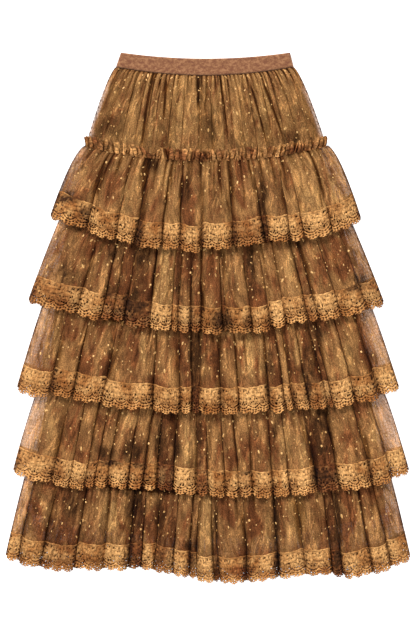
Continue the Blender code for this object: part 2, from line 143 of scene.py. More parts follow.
# How much lighter than their dye the net and the lace are drawn on their highest parts
NET_BRIGHTEST = 1.6
LACE_BRIGHTEST = 2.0

# Shades that a cloth's colour is multiplied with, from the depth of a valley to a crest
NET_SHADES = (
    (0.0, (0.15, 0.095, 0.045)), (0.25, (0.34, 0.275, 0.19)),
    (0.50, (0.66, 0.63, 0.58)), (0.82, (1.0, 1.0, 1.0)),
)
LACE_SHADES = (
    (0.0, (0.06, 0.04, 0.03)), (0.28, (0.26, 0.21, 0.17)),
    (0.52, (0.74, 0.71, 0.67)), (0.75, (1.0, 1.0, 1.0)),
)

# The foil dots: how large and how far apart the fine and the large ones are, as shares
# of the sizes that are set, and how far they stray, as a share of their spacing
DOT_KINDS = ((0.8, 0.85), (1.25, 1.4))
DOT_STRAYS = 0.4
DOTS_KEPT = 0.9  # share of them that is left on the cloth
DOT_UNEVEN = (0.6, 1.3)  # smallest and largest of a kind
DOTS_DRAWN = 0.3  # share of them that is drawn out lengthwise
DOT_LENGTHS = (1.9, 1.05)  # of one that is drawn out and of one that isn't
DOT_WIDTH = 0.85
DOT_TURN = 0.5
DOT_NEAR = 0.9  # from a dot's middle to where the slope of the cloth is taken
DOT_OVER = 0.55  # height of a dot over the cloth
DOT_DOME = 0.25  # its middle stands this much higher
DOT_RIM = 0.3  # its rim lies this much lower
DOT_LOWEST = 0.05  # height of any dot over the paper
DOT_CORNERS = 8

# The stage, in metres: the camera straight above, which takes in this length of paper
CAMERA_HEIGHT = 5.0
SENSOR_MM = 36.0
PICTURE_LENGTH = 1.1232
PICTURE_MIDDLE_Y = 0.0108
PAPER_HALF = 4.0
PAPER_CORNERS = ((-1, -1), (1, -1), (1, 1), (-1, 1))
PAPER_BELOW = 0.0004
WORLD_LIGHT = 0.55
PAPER_GLOW = 0.75  # the paper lies on a light table, which leaves hardly a shadow
KEY_LIGHT = 2.5
KEY_PLACE = (-1.0, 1.6, 1.9)
KEY_ANGLE = math.radians(16.0)

# Where each piece's random draws start; a ruffle's and its lace's share one, so that
# their folds meet
FRONT_SEEDS = (100, 110, 120, 130, 140)
BACK_SEEDS = (105, 115, 125, 135, 145)
DOT_SEEDS = (200, 210, 220, 230, 240)
YOKE_SEEDS = {"front": 51, "back": 57}
YOKE_DOT_SEED = 260
BAND_SEEDS = {"back": 31, "front": 32}
UNDERSKIRT_SEED = 41
HEADING_SEEDS = {"front": 61, "back": 63}

DARK, RUST, GOLD = 0, 1, 2  # the dyes
EVEN_DYE = ((DARK, -0.6), (RUST, -0.8), (GOLD, 0.75))  # depth where darkest (-) or lightest

# Where down a ruffle, as shares of its length, its height changes and over how much
Change = namedtuple("Change", "start length")
LIFTING = Change(0.10, 0.75)
SIDE_FALLING = Change(0.15, 0.60)
LAST_FALLING = Change(0.55, 0.45)

# An edge that sags in the middle: its ends, and its height there and midway
Arc = namedtuple("Arc", "left right end_y mid_y")

WAIST_TOP = Arc(-156.6, 147.6, 477.5, 466.5)
WAIST_SEAM = Arc(-165.6, 154.0, 451.5, 436.0)
YOKE_SEAM = Arc(-220.0, 212.5, 310.5, 285.0)
UNDERSKIRT_HEM = Arc(-318.0, 320.0, -350.0, -397.0)
UNDERSKIRT_INSETS = (2.6, 15.0, 7.0, 7.0, 7.0, 7.0, 0.0)  # from each seam's ends

Tier = namedtuple("Tier", "seam_left seam_right hem flare hem_z")

TIERS = (
    Tier(-221.0, 215.5, Arc(-285.5, 276.5, 177.5, 122.5), 0.68, FRONT_Z + HEM_LIFT),
    Tier(-249.0, 236.5, Arc(-325.0, 318.0, 26.5, -27.0), 0.87, FRONT_Z + HEM_LIFT),
    Tier(-281.0, 274.0, Arc(-345.0, 345.0, -127.0, -171.0), 0.84, FRONT_Z + HEM_LIFT),
    Tier(-287.0, 294.0, Arc(-352.0, 363.0, -277.0, -320.5), 0.74, FRONT_Z + HEM_LIFT),
    Tier(-315.0, 314.0, Arc(-365.5, 365.0, -431.0, -473.0), 0.84, SIDE_Z),
)
TIER_SIDES = [(index, side) for index in range(len(TIERS)) for side in ("front", "back")]


def listed(kind, rows):
    return tuple(kind(*row) for row in rows)


# A fold along a hem, from the left: its width there, where in it the crest is, how
# high that stands, how far its hem hangs down, and how light (1) or dark (-1) it is drawn:
# the dye that took in it, which in a narrow low fold between others is painted shade of
# the recess, and which deepens the fold's painted edge shade
Fold = namedtuple("Fold", "width crest rise drop dye")

# A blot of dye: its middle, its half width and half height, the dye and how deep it is
Blot = namedtuple("Blot", "x y across down dye depth")


def dye_blots(dark=(), rust=(), gold=()):
    """Blots of each dye, from rows that don't name it."""
    dyes = ((DARK, dark), (RUST, rust), (GOLD, gold))
    return [Blot(*row[:4], dye, row[4]) for dye, rows in dyes for row in rows]


# A crease in the cloth: where it starts and ends along the hem and down the piece, its
# half width, how far it stands up (or sinks in), and how light it looks
Crease = namedtuple("Crease", "place down last_place last_down width depth shine")

TIER_FOLDS = (
    listed(Fold, (
        (66, 0.45, 9, -5, 0), (52, 0.6, 10, 0, -0.1), (36, 0.4, 8, 0, 0.3),
        (46, 0.7, 11, 3, -0.2), (34, 0.35, 9, 1, 0.3), (39, 0.55, 12, 3, -0.1),
        (57, 0.4, 10, -2, 0.25), (53, 0.75, 12, -4, -0.3), (11, 0.5, 1, -6, -1),
        (37, 0.3, 12, -3, 0.1), (26, 0.5, 8, 1, 0.2), (47, 0.6, 10, 5, 0.6),
        (55, 0.5, 8, 4, 0.35),
    )),
    listed(Fold, (
        (85, 0.55, 8, -5, -0.25), (45, 0.7, 10, -5, 0.1), (23, 0.4, 8, -9, -0.5),
        (22, 0.6, 7, -10, -0.5), (45, 0.4, 11, -4, -0.7), (37, 0.6, 9, -3, 0.9),
        (13, 0.5, 5, -2, -0.2), (23, 0.35, 9, -2, -0.4), (18, 0.6, 8, -2, -0.4),
        (38, 0.6, 12, 0, 0), (9, 0.5, 1, -3, -0.6), (45, 0.7, 12, 1, 0.1),
        (34, 0.35, 10, 3, -0.1), (26, 0.6, 9, -3, 0.4), (41, 0.45, 11, -6, 0.5),
        (19, 0.5, 7, -3, -0.3), (41, 0.6, 10, 0, 0.3), (46, 0.4, 9, 2, 0),
        (31, 0.5, 7, 2, -0.3),
    )),
    listed(Fold, (
        (59, 0.5, 8, 4, 0.3), (40, 0.65, 10, -6, 0.1), (56, 0.4, 9, -5, 0.1),
        (86, 0.75, 12, -2, -0.05), (52, 0.45, 10, 0, 0.3), (20, 0.65, 11, -1, -0.2),
        (17, 0.5, 1, -2, -1), (37, 0.3, 12, 0, 0.1), (32, 0.6, 10, 0, -0.1),
        (59, 0.5, 11, 0, 0.5), (27, 0.4, 9, 3, -0.1), (14, 0.5, 7, 2, 0.2),
        (27, 0.7, 12, 2, 0.4), (32, 0.3, 10, 5, -0.3), (11, 0.5, 6, 6, -0.5),
        (40, 0.6, 9, 8, 0.55), (43, 0.4, 8, 8, 0.1), (36, 0.5, 7, 1, 0.4),
    )),
    listed(Fold, (
        (70, 0.45, 8, 3, 0.5), (32, 0.6, 9, 4, -0.1), (29, 0.4, 8, 4, 0.05),
        (18, 0.6, 7, -1, -0.2), (22, 0.4, 9, -5, 0.3), (36, 0.6, 11, -8, 0.3),
        (27, 0.4, 9, -9, -0.1), (25, 0.6, 10, -10, 0.3), (29, 0.35, 10, -11, -0.8),
        (43, 0.55, 12, -6, 0.55), (20, 0.4, 9, -3, -0.5), (31, 0.6, 11, -1, 0.1),
        (26, 0.4, 9, 0, 0.1), (23, 0.6, 10, 1, -0.1), (37, 0.45, 11, 3, 0.3),
        (31, 0.6, 9, 3, 0), (50, 0.4, 11, 4, 0.6), (38, 0.65, 10, 4, -0.8),
        (58, 0.45, 11, 8, 0.2), (34, 0.6, 9, 8, 0.35), (34, 0.5, 7, 1, 0.3),
    )),
    listed(Fold, (
        (24, 0.5, 6, 0, 0.2), (37, 0.6, 9, 4, 0.2), (63, 0.45, 10, 2, -0.35),
        (52, 0.6, 11, -8, -0.15), (44, 0.35, 10, -13, 0.35), (24, 0.7, 11, -19, -0.9),
        (24, 0.3, 9, -19, 0.2), (34, 0.6, 10, -15, -0.5), (29, 0.4, 11, -10, 0.1),
        (12, 0.5, 7, -6, -0.2), (29, 0.6, 12, 0, 0.7), (12, 0.5, 1, 0, -0.9),
        (50, 0.4, 12, 2, -0.1), (57, 0.6, 11, 0, -0.15), (50, 0.4, 10, -2, 0.5),
        (47, 0.65, 11, 0, -0.05), (20, 0.4, 8, 7, -1), (50, 0.5, 11, 13, 0.1),
        (33, 0.6, 9, 13, 0.2), (36, 0.5, 7, 5, 0),
    )),
)
YOKE_FOLDS = listed(Fold, (
    (31, 0.5, 3, 0, 0), (29, 0.4, 4, 0, -0.2), (23, 0.6, 4, 0, 0.2), (18, 0.5, 5, 0, 0.3),
    (16, 0.6, 6, 0, 0.1), (27, 0.3, 5, 0, -0.1), (25, 0.6, 5, 0, 0.5), (32, 0.7, 4, 0, 0.4),
    (25, 0.4, 5, 0, -0.1), (23, 0.6, 4, 0, 0.4), (18, 0.5, 4, 0, 0.1), (18, 0.4, 5, 0, 0.2),
    (23, 0.6, 4, 0, 0.3), (29, 0.4, 5, 0, 0.4), (23, 0.6, 5, 0, -0.1), (22, 0.4, 4, 0, 0.1),
    (22, 0.6, 4, 0, -0.1), (23, 0.5, 3, 0, -0.2),
))

YOKE_BLOTS = dye_blots(
    dark=(
        (-176, 342, 27, 16, 0.65), (-16, 410, 10, 27, 0.65), (2, 340, 12, 30, 0.55),
        (151, 324, 25, 13, 0.7),
    ),
    rust=(
        (-22, 324, 25, 13, 0.8), (11, 414, 9, 16, 0.7),
    ),
    gold=(
        (-50, 383, 18, 45, 0.8), (13, 374, 13, 18, 0.8), (104, 385, 14, 29, 0.9),
        (-47, 338, 18, 18, 0.7),
    ),
)
HEADING_BLOTS = dye_blots(
    dark=(
        (158, 300, 20, 10, 0.5), (-180, 305, 16, 9, 0.5), (-14, 286, 20, 10, 0.55),
    ),
    rust=(
        (158, 300, 24, 12, 0.9), (-20, 288, 30, 12, 0.8),
    ),
    gold=(
        (-165, 302, 50, 16, 0.45),
    ),
)
NET_BLOTS = (
    dye_blots(
        dark=(
            (-99, 275, 11, 16, 0.9), (-47, 286, 29, 11, 0.6), (-14, 288, 18, 13, 0.7),
            (-38, 230, 7, 36, 0.8), (99, 218, 11, 50, 0.75), (140, 302, 22, 14, 0.9),
            (-252, 223, 23, 7, 0.8),
        ),
        gold=(
            (-77, 256, 13, 32, 0.7), (-149, 221, 9, 36, 0.7), (189, 220, 25, 27, 0.9),
            (227, 230, 11, 25, 0.7),
        ),
    ),
    dye_blots(
        dark=(
            (-230, 167, 14, 11, 0.8), (-254, 76, 22, 28, 0.6), (-167, 122, 16, 31, 0.8),
            (-117, 112, 23, 27, 0.8), (-176, 50, 11, 16, 0.8), (-130, 40, 23, 16, 0.9),
            (-54, 59, 9, 22, 0.7), (76, 101, 11, 54, 0.9), (166, 135, 25, 11, 0.7),
            (275, 67, 20, 14, 0.9),
        ),
        gold=(
            (-77, 94, 14, 43, 0.9), (148, 97, 11, 40, 0.9),
        ),
    ),
    dye_blots(
        dark=(
            (-23, -68, 13, 61, 1), (112, -86, 11, 36, 0.7), (180, -86, 11, 43, 0.9),
            (200, -25, 16, 20, 0.7), (166, -97, 16, 11, 0.8),
        ),
        gold=(
            (-270, -49, 9, 40, 0.7), (-117, -58, 7, 32, 0.8), (74, -61, 11, 43, 0.9),
            (94, -68, 5, 36, 0.7), (162, -58, 7, 36, 0.9), (248, -72, 14, 36, 0.9),
        ),
    ),
    dye_blots(
        dark=(
            (-86, -220, 13, 43, 0.9), (-135, -238, 22, 20, 0.9), (-184, -241, 20, 14, 0.8),
            (-14, -202, 9, 36, 0.8), (-58, -234, 13, 20, 0.8), (121, -202, 7, 54, 0.7),
            (205, -202, 22, 68, 0.8),
        ),
        gold=(
            (-288, -184, 13, 43, 0.8), (-139, -184, 20, 16, 0.7), (-38, -230, 14, 41, 0.9),
            (139, -220, 11, 43, 0.8), (169, -230, 9, 50, 0.9), (302, -202, 13, 29, 0.7),
        ),
    ),
    dye_blots(
        dark=(
            (-245, -333, 23, 31, 0.8), (-131, -328, 20, 43, 0.9), (-86, -346, 13, 54, 0.7),
            (16, -382, 5, 54, 0.7), (121, -364, 9, 58, 0.9), (232, -364, 9, 65, 1),
            (-32, -410, 14, 11, 0.7), (347, -391, 11, 11, 0.7),
        ),
        gold=(
            (-176, -356, 18, 43, 0.9), (-2, -365, 16, 54, 1), (108, -382, 7, 36, 0.7),
            (158, -356, 22, 43, 0.9),
        ),
    ),
)
LACE_BLOTS = (
    dye_blots(
        dark=(
            (-252, 214, 23, 9, 0.9), (-221, 191, 11, 9, 0.7), (101, 162, 7, 27, 0.9),
        ),
        gold=(
            (-207, 182, 13, 13, 0.9), (-149, 166, 14, 22, 0.7), (-63, 167, 13, 25, 0.9),
            (-32, 144, 14, 13, 0.7), (7, 155, 20, 25, 0.9), (133, 166, 22, 22, 0.9),
            (193, 173, 20, 22, 0.8), (254, 187, 16, 18, 0.9),
        ),
    ),
    dye_blots(
        dark=(
            (-180, 49, 13, 16, 0.9), (-131, 27, 27, 31, 1), (-157, 11, 14, 13, 0.7),
            (23, -5, 20, 22, 0.9), (72, -7, 9, 22, 0.7), (257, 59, 23, 14, 0.9),
        ),
        gold=(
            (-227, 31, 20, 23, 1), (-86, 9, 16, 31, 1), (-40, 9, 13, 23, 1),
            (126, 14, 20, 27, 0.9), (203, 32, 23, 23, 1), (293, 40, 16, 14, 0.8),
        ),
    ),
    dye_blots(
        dark=(
            (-23, -119, 5, 18, 1), (108, -122, 7, 22, 0.7), (180, -122, 7, 32, 1),
        ),
        gold=(
            (-176, -128, 20, 23, 0.9), (-122, -124, 16, 16, 0.7), (-319, -95, 16, 16, 0.7),
            (7, -128, 18, 22, 0.9), (79, -140, 20, 23, 1), (133, -139, 13, 22, 0.7),
            (212, -128, 9, 23, 0.9), (248, -131, 14, 23, 1), (326, -112, 18, 20, 1),
        ),
    ),
    dye_blots(
        dark=(
            (-173, -259, 22, 7, 1), (-124, -259, 13, 13, 0.8), (207, -283, 23, 25, 0.9),
            (67, -270, 13, 13, 0.7),
        ),
        rust=(
            (207, -292, 16, 18, 0.8),
        ),
        gold=(
            (-311, -266, 22, 16, 0.7), (-238, -272, 20, 23, 1), (-162, -286, 14, 13, 1),
            (-43, -284, 20, 25, 1), (-83, -284, 7, 18, 0.7), (4, -293, 7, 20, 0.8),
            (50, -293, 9, 18, 0.7), (97, -284, 13, 20, 0.8), (139, -284, 9, 22, 0.9),
            (171, -293, 11, 27, 1), (248, -284, 22, 20, 0.9), (337, -254, 18, 23, 1),
        ),
    ),
    dye_blots(
        dark=(
            (-85, -428, 9, 16, 0.7), (-27, -437, 7, 18, 0.7), (16, -446, 5, 25, 0.8),
            (124, -437, 7, 29, 1), (232, -436, 9, 36, 1),
        ),
        rust=(
            (-131, -419, 11, 18, 0.7), (59, -455, 23, 13, 0.7),
        ),
        gold=(
            (-347, -410, 18, 16, 0.7), (-283, -419, 16, 16, 0.7), (-167, -423, 23, 23, 1),
            (-108, -419, 7, 22, 0.8), (-59, -441, 20, 20, 0.7), (-5, -437, 20, 20, 1),
            (104, -437, 13, 20, 0.8), (167, -436, 23, 23, 0.8), (200, -428, 16, 22, 0.7),
            (256, -437, 13, 20, 0.8), (320, -419, 22, 22, 1),
        ),
    ),
)

YOKE_CREASES = listed(Crease, (
    (-126, 0, -121, 0.97, 2.2, -2.6, -0.9), (-106, 0.1, -98, 0.98, 1.8, 1.4, 0.7),
    (-117, 0.05, -108, 0.98, 1.6, 1.2, 0.6), (-92, 0.02, -86, 0.62, 2.2, -2.4, -0.9),
    (-18, 0, -20, 0.45, 2.6, -2.4, -0.8), (32, 0, 40, 0.95, 2.2, -1.8, -0.6),
    (98, 0.05, 110, 0.95, 2, -2, -0.7), (128, 0.1, 142, 0.9, 2.4, -2, -0.7),
    (-52, 0, -60, 0.8, 2.4, 1.6, 0.5), (15, 0.1, 18, 0.8, 2.4, 1.4, 0.4),
    (62, 0, 72, 0.85, 2.4, 1.4, 0.4),
))
RUFFLE_CREASES = (
    listed(Crease, (
        (-136, 0, -132, 0.5, 5.2, -3.4, -1.6), (-139, 0.02, -134, 0.42, 1.6, 1.8, 0.6),
        (-121, 0.02, -126, 0.42, 1.6, 1.8, 0.5), (-160, 0.1, -172, 0.7, 2, 1.3, 0.4),
        (40, 0.1, 46, 0.8, 2.4, 1.4, 0.4), (175, 0.05, 214, 0.7, 2.2, 1.6, 0.5),
    )),
    listed(Crease, (
        (-62, 0.2, -66, 0.8, 1.6, 1.3, 0.6), (148, 0.25, 168, 0.8, 1.8, 1.5, 0.6),
        (120, 0.3, 136, 0.8, 1.8, 1.3, 0.5), (-280, 0.3, -296, 0.75, 2, 1.2, 0.4),
    )),
    listed(Crease, (
        (-286, 0.22, -268, 0.62, 1.6, 1.6, 0.8), (164, 0.2, 168, 0.8, 1.8, 1.6, 0.6),
        (70, 0.25, 76, 0.8, 1.8, 1.3, 0.5), (254, 0.3, 268, 0.8, 2, 1.4, 0.5),
    )),
    listed(Crease, (
        (158, 0.2, 166, 0.8, 1.8, 1.6, 0.6), (-194, 0.2, -200, 0.8, 1.6, 1.3, 0.5),
        (132, 0.25, 138, 0.8, 1.6, 1.3, 0.5), (296, 0.3, 318, 0.75, 2, 1.4, 0.5),
    )),
    listed(Crease, (
        (-136, 0.2, -142, 0.75, 1.8, -2, -0.8), (-66, 0.2, -58, 0.72, 1.8, 1.5, 0.5),
        (100, 0.3, 116, 0.75, 2, 1.5, 0.6), (-10, 0.2, -14, 0.75, 1.6, 1.3, 0.5),
    )),
)


def linear(colour):
    """An sRGB hex colour as linear red, green, blue and alpha."""
    parts = [int(colour[at : at + 2], 16) / 255.0 for at in (1, 3, 5)]
    dim, lit = [part / 12.92 for part in parts], [((part + 0.055) / 1.055) ** 2.4 for part in parts]
    return (*[d if part <= 0.04045 else l for part, d, l in zip(parts, dim, lit)], 1.0)


def ease(share):
    """0 to 1, level at both ends."""
    share = np.clip(share, 0.0, 1.0)
    return share * share * (3.0 - 2.0 * share)


def changed(change, down):
    """How much of a change has happened this far down a ruffle, from 0 to 1."""
    return ease((down - change.start) / change.length)


def arc_y(arc, x):
    """The height of an arc at x."""
    half = (arc.right - arc.left) / 2.0
    off = (x - (arc.left + arc.right) / 2.0) / half
    return arc.mid_y + (arc.end_y - arc.mid_y) * off * off


def spread(left, right, other_left, other_right, x):
    """Takes x from one pair of ends to another."""
    return other_left + (x - left) / (right - left) * (other_right - other_left)


def ridge(off, width):
    """1 on a line, and down to 0 about this far to each side of it."""
    return np.exp(-((off / width) ** 2))


def smooth(values, reach):
    """Rounded off over this many neighbours each way, with the slope kept at the ends."""
    weights = np.hanning(2 * reach + 3)[1:-1]
    padded = np.pad(values, reach, mode="reflect", reflect_type="odd")
    return np.convolve(padded, weights / weights.sum(), mode="valid")


def wander(values, period, seed):
    """Smooth uneven waves from -1 to 1, no shorter than about this period."""
    rng = np.random.default_rng(seed)
    total = np.zeros_like(values, dtype=float)
    for step in range(5):
        wave = 2.0 * np.pi / (period * (1.0 + 0.8 * step))
        total += np.sin(values * wave + rng.uniform(0.0, 6.28)) * rng.uniform(0.6, 1.0)
    return total / 3.0


def scallops_of(fold):
    """How many scallops go round a fold."""
    return max(1, round((fold.width + 0.8 * fold.rise) / SCALLOP_PITCH))


def seam_arc(index):
    """A ruffle's seam: the hem above it, moved up by the overlap."""
    tier = TIERS[index]
    if index == 0:
        return YOKE_SEAM._replace(left=tier.seam_left, right=tier.seam_right)
    above = TIERS[index - 1].hem
    return Arc(tier.seam_left, tier.seam_right, above.end_y + OVERLAP, above.mid_y + OVERLAP)


# Shape of a fold's edge where it lies over the next one, and where it lies under it:
# millimetres in from the valley, millimetres that it hangs out, share of the rise
EdgePoint = namedtuple("EdgePoint", "inward outward height")
MOST_OVERHANG = 3.6
LEAST_OVERHANG = 0.8


def edge_over(out, small):
    """A fold's edge that hangs out over its neighbour like the rim of a pleat."""
    return [
        EdgePoint(0.0, 0.0, 0.0),
        EdgePoint(0.3 * small, 0.55 * out, 0.28),
        EdgePoint(0.9 * small, out, 0.58),
        EdgePoint(2.0 * small, 0.75 * out, 0.82),
        EdgePoint(4.5 * small, 0.2 * out, 0.96),
    ]


def edge_under(covered, small):
    """A fold's edge that slopes up from under its neighbour."""
    return [
        EdgePoint(0.0, 0.0, 0.0),
        EdgePoint(0.5 * covered, 0.0, 0.05),
        EdgePoint(covered + 1.0 * small, 0.0, 0.22),
        EdgePoint(covered + 4.5 * small, 0.0, 0.60),
        EdgePoint(covered + 10.0 * small, 0.0, 0.88),
    ]


# What runs along a hem, at close places: the place itself, how far the cloth hangs out
# from it sideways, its height over the valleys, how far the hem hangs down, how many
# scallops come before it, its length along the cloth, its painted light and shade, and its
# dye, which in narrow recesses is painted shade too
Hem = namedtuple("Hem", "place shift height drop scallop length shine dye")


def fold_shine(share, width, lean, depth):
    """How light a fold looks across it: dark where the next one lies over it, with a
    light rim where it lies over the next."""
    lit = np.full(share.shape, 1.0)
    for inward, turned in ((share, lean), (1.0 - share, -lean)):
        under = np.clip((0.12 + 0.27 * np.maximum(turned, 0.0)) * width, 3.5, 17.0)
        lit = np.minimum(lit, ease(inward * width / under))
        lit += 0.25 * np.maximum(-turned, 0.0) * ridge(inward * width - 2.4, 1.5)
    lit = 1.0 - (1.0 - lit) * depth
    return 1.25 * lit + 0.35 * np.sin(np.pi * share) - 1.15


def run_hem(folds, arc, pressed=1.0):
    """A hem's folds from side to side, each laid over or under the next; pressed is the
    share of their rise that is left."""
    widths = np.array([fold.width for fold in folds])
    widths = widths * (arc.right - arc.left) / widths.sum()
    edges = arc.left + np.concatenate([[0.0], np.cumsum(widths)])
    leans = np.array([np.clip((fold.crest - 0.5) / 0.2, -1.0, 1.0) for fold in folds])
    over = np.maximum(leans[:-1], 0.0) - np.maximum(-leans[1:], 0.0)
    outs = [0.0, *(MOST_OVERHANG * over), 0.0]
    drops = [0.0, *[fold.drop for fold in folds], 0.0]
    last = len(folds) - 1
    tilts = np.random.default_rng(len(folds)).uniform(-HEM_TILT, HEM_TILT, len(folds))
    rows, scallops = [], 0.0
    for at, fold in enumerate(folds):
        width = widths[at]
        small = min(1.0, width / 40.0)
        sides = []
        for out, outermost in ((-outs[at], at == 0), (outs[at + 1], at == last)):
            if outermost:
                made = edge_under(0.0, 1.5 * small)
            elif out < -0.3:
                made = edge_under(-out * small, small)
            else:
                made = edge_over(max(out, LEAST_OVERHANG) * small, small)
            sides.append([point for point in made if point.inward < EDGE_REACH * width])
        crest = np.clip(fold.crest, 0.4, 0.6)
        run = [(edges[at] + p.inward, -p.outward, p.height, p.inward / width) for p in sides[0]]
        run.append((edges[at] + crest * width, 0.0, 1.0, crest))
        run += [
            (edges[at + 1] - p.inward, p.outward, p.height, 1.0 - p.inward / width)
            for p in reversed(sides[1])
        ]
        count = scallops_of(fold)
        for place, shift, height, share in run:
            near = ease(min(share, 1.0 - share) / 0.07)
            mean = (drops[at if share < 0.5 else at + 2] + fold.drop) / 2.0
            drop = mean + (fold.drop - mean) * near + tilts[at] * (share - 0.5) * near
            height = height * fold.rise * pressed
            rows.append((place, shift, height, drop, scallops + count * share, fold.dye))
        scallops += count
    rows = np.array(rows)
    steps = np.hypot(np.diff(rows[:, 0] + rows[:, 1]), np.diff(rows[:, 2]))
    length = np.concatenate([[0.0], np.cumsum(np.maximum(steps, 0.02))])
    close = np.linspace(0.0, length[-1], int(length[-1] / HEM_STEP) + 1)
    place, shift, height, drop, scallop, dye = [np.interp(close, length, row) for row in rows.T]
    at = np.clip(np.searchsorted(edges, place) - 1, 0, last)
    share = np.clip((place - edges[at]) / widths[at], 0.0, 1.0)
    # How deep each fold's painted edge shade is: never less than how dark its dye is
    depths = np.random.default_rng(len(folds) + 1).uniform(0.25, 1.0, len(folds))
    depths = np.array([max(depth, -fold.dye) for depth, fold in zip(depths, folds)])
    bow = HEM_BOW * np.sin(np.pi * share) * np.minimum(widths[at] / 30.0, 1.0)
    hem = Hem(
        place=smooth(place, 2),
        shift=smooth(shift, 3),
        height=np.maximum(smooth(height, 3), 0.0),
        drop=smooth(drop + bow, 6),
        scallop=np.maximum.accumulate(smooth(scallop, 3)),
        length=close,
        shine=smooth(fold_shine(share, widths[at], leans[at], depths[at]), 2),
        dye=smooth(dye, 14),
    )
    hem.place[0], hem.place[-1] = arc.left, arc.right
    hem.scallop[0], hem.scallop[-1] = 0.0, scallops
    return hem


def hem_at(hem, spots, by="length"):
    """The hem at these spots, by length along the cloth or by scallops."""
    known = getattr(hem, by)
    return Hem(*[np.interp(spots, known, values) for values in hem])


def spots_along(hem, step):
    """Even places along a hem's own length, about this far apart."""
    return np.linspace(0.0, hem.length[-1], round(hem.length[-1] / step) + 1)


def turned_over(folds):
    """The folds as the other side of the skirt has them."""
    return [fold._replace(crest=1.0 - fold.crest) for fold in reversed(folds)]


def tier_hem(index, side):
    """A ruffle's hem; its back is pressed flat, and hangs as its front does."""
    hem, folds = TIERS[index].hem, TIER_FOLDS[index]
    if side == "front":
        return run_hem(folds, hem)
    made = run_hem(turned_over(folds), hem, BACK_PRESSED)
    edges = hem.left + np.cumsum([0.0] + [fold.width for fold in folds])
    places = [edges[0], *(edges[:-1] + edges[1:]) / 2.0, edges[-1]]
    drops = [0.0, *[fold.drop for fold in folds], 0.0]
    return made._replace(drop=np.interp(made.place, places, drops))


def yoke_hem(side):
    """The folds at the yoke's lower edge; the back's are pressed flatter."""
    if side == "front":
        return run_hem(YOKE_FOLDS, YOKE_SEAM)
    return run_hem(turned_over(YOKE_FOLDS), YOKE_SEAM, YOKE_BACK_PRESSED)


# Gathers along a seam: the width of one, how deep it is, and how far down a piece it
# reaches, as a share of the piece's length
Gather = namedtuple("Gather", "pitch depth reach")

RUFFLE_BROAD = Gather(15.0, 3.0, 0.95)
RUFFLE_FINE = Gather(8.2, 2.0, 0.66)
RUFFLE_BACK = Gather(7.5, 0.5, 0.75)
YOKE_FINE = Gather(7.4, 2.6, 0.48)
YOKE_BROAD = Gather(12.0, 1.6, 0.80)
YOKE_LOW = Gather(9.0, 1.2, 0.45)
YOKE_BACK = Gather(6.8, 0.9, 0.6)


def gathers(seam, seam_x, down, kind, seed):
    """Fine gathers that run down from a seam and die out: their height, and their light."""
    rng = np.random.default_rng(seed)
    left, right = seam.left - 1.0, seam.right + 1.0
    widths = rng.uniform(0.6, 1.4, int((right - left) / kind.pitch) + 3) * kind.pitch
    edges = left + np.concatenate([[0.0], np.cumsum(widths)])
    at = np.clip(np.searchsorted(edges, seam_x) - 1, 0, len(widths) - 1)
    share = (seam_x - edges[at]) / widths[at]
    depths = rng.uniform(0.45, 1.0, len(widths)) * kind.depth
    reaches = rng.uniform(0.35, 1.0, len(widths)) * kind.reach
    wave = np.sin(np.pi * np.clip(share, 0.0, 1.0))
    left_over = 1.0 - ease(down / reaches[at])
    shine = 1.6 * (wave**0.9 - 0.62) * left_over * depths[at] / kind.depth
    return depths[at] * wave * left_over, shine


def crease_waves(place, down, creases):
    """What these creases add to the height, and to how light the cloth looks."""
    height = np.zeros(np.broadcast(place, down).shape)
    shine = np.zeros_like(height)
    for crease in creases:
        along = (down - crease.down) / (crease.last_down - crease.down)
        middle = crease.place + (crease.last_place - crease.place) * along
        started = ease(along * 5.0) if crease.down > 0.0 else 1.0 * (along >= 0.0)
        held = started * ease((1.0 - along) * 2.5)
        wave = ridge(place - middle, crease.width * np.clip(1.3 - 0.7 * along, 0.4, 1.3)) * held
        height += crease.depth * wave
        shine += crease.shine * wave
    return height, shine


def stray_creases(arc, count, seed):
    """Small creases strewn over a piece, as gathered net has all over."""
    rng = np.random.default_rng(seed)
    made = []
    for _ in range(count):
        place = rng.uniform(arc.left, arc.right)
        down = rng.uniform(0.0, 0.7)
        turned = rng.normal(0.0, 11.0)
        length = rng.uniform(0.2, 0.55)
        width = rng.uniform(1.3, 3.4)
        depth = rng.choice([-1.0, 1.0], p=[0.45, 0.55]) * rng.uniform(0.4, 1.3)
        made.append(Crease(place, down, place + turned, down + length, width, depth, 0.42 * depth))
    return made


def known_creases(creases, stronger):
    """The creases of a table, with their light made this much stronger."""
    return [crease._replace(shine=stronger * crease.shine) for crease in creases]


def side_dashes(inward, along, seed):
    """Painted shade where a side edge's dense fold looks dark: in short dashes down it."""
    beat = np.sin(2.0 * np.pi * along / 12.0 + 3.0 * wander(along, 40.0, seed))
    return np.clip(1.6 * beat, 0.0, 1.0) * ridge(inward - 1.2, 1.3)


# A piece of cloth's points, with what its finish needs at each of them: its painted
# light and shade, its dye (in narrow recesses, painted shade too), how much of the ground
# its threads cover, and its own length and width coordinates
Cloth = namedtuple("Cloth", "x y z shine dye cover across along")


def whole_cloth(*parts):
    """Cloth of these parts, each of them known at every point."""
    return Cloth(*np.broadcast_arrays(*parts))


def valley_z(index, down):
    """The height of a front's valleys, from the seam down to the hem."""
    rise = TIERS[index].hem_z - FRONT_Z
    if rise > 0.0:
        return FRONT_Z + rise * changed(LIFTING, down)
    bulge = LAST_BULGE * np.sin(np.pi * np.clip(down, 0.0, 1.0))
    return FRONT_Z + bulge + rise * changed(LAST_FALLING, down)


def ruffle_lines(index, hem):
    """The seam's place and height, and the hem's height, at places along a hem."""
    tier = TIERS[index]
    seam = seam_arc(index)
    seam_x = spread(tier.hem.left, tier.hem.right, seam.left, seam.right, hem.place)
    return seam_x, arc_y(seam, seam_x) - SEAM, arc_y(tier.hem, hem.place) - hem.drop


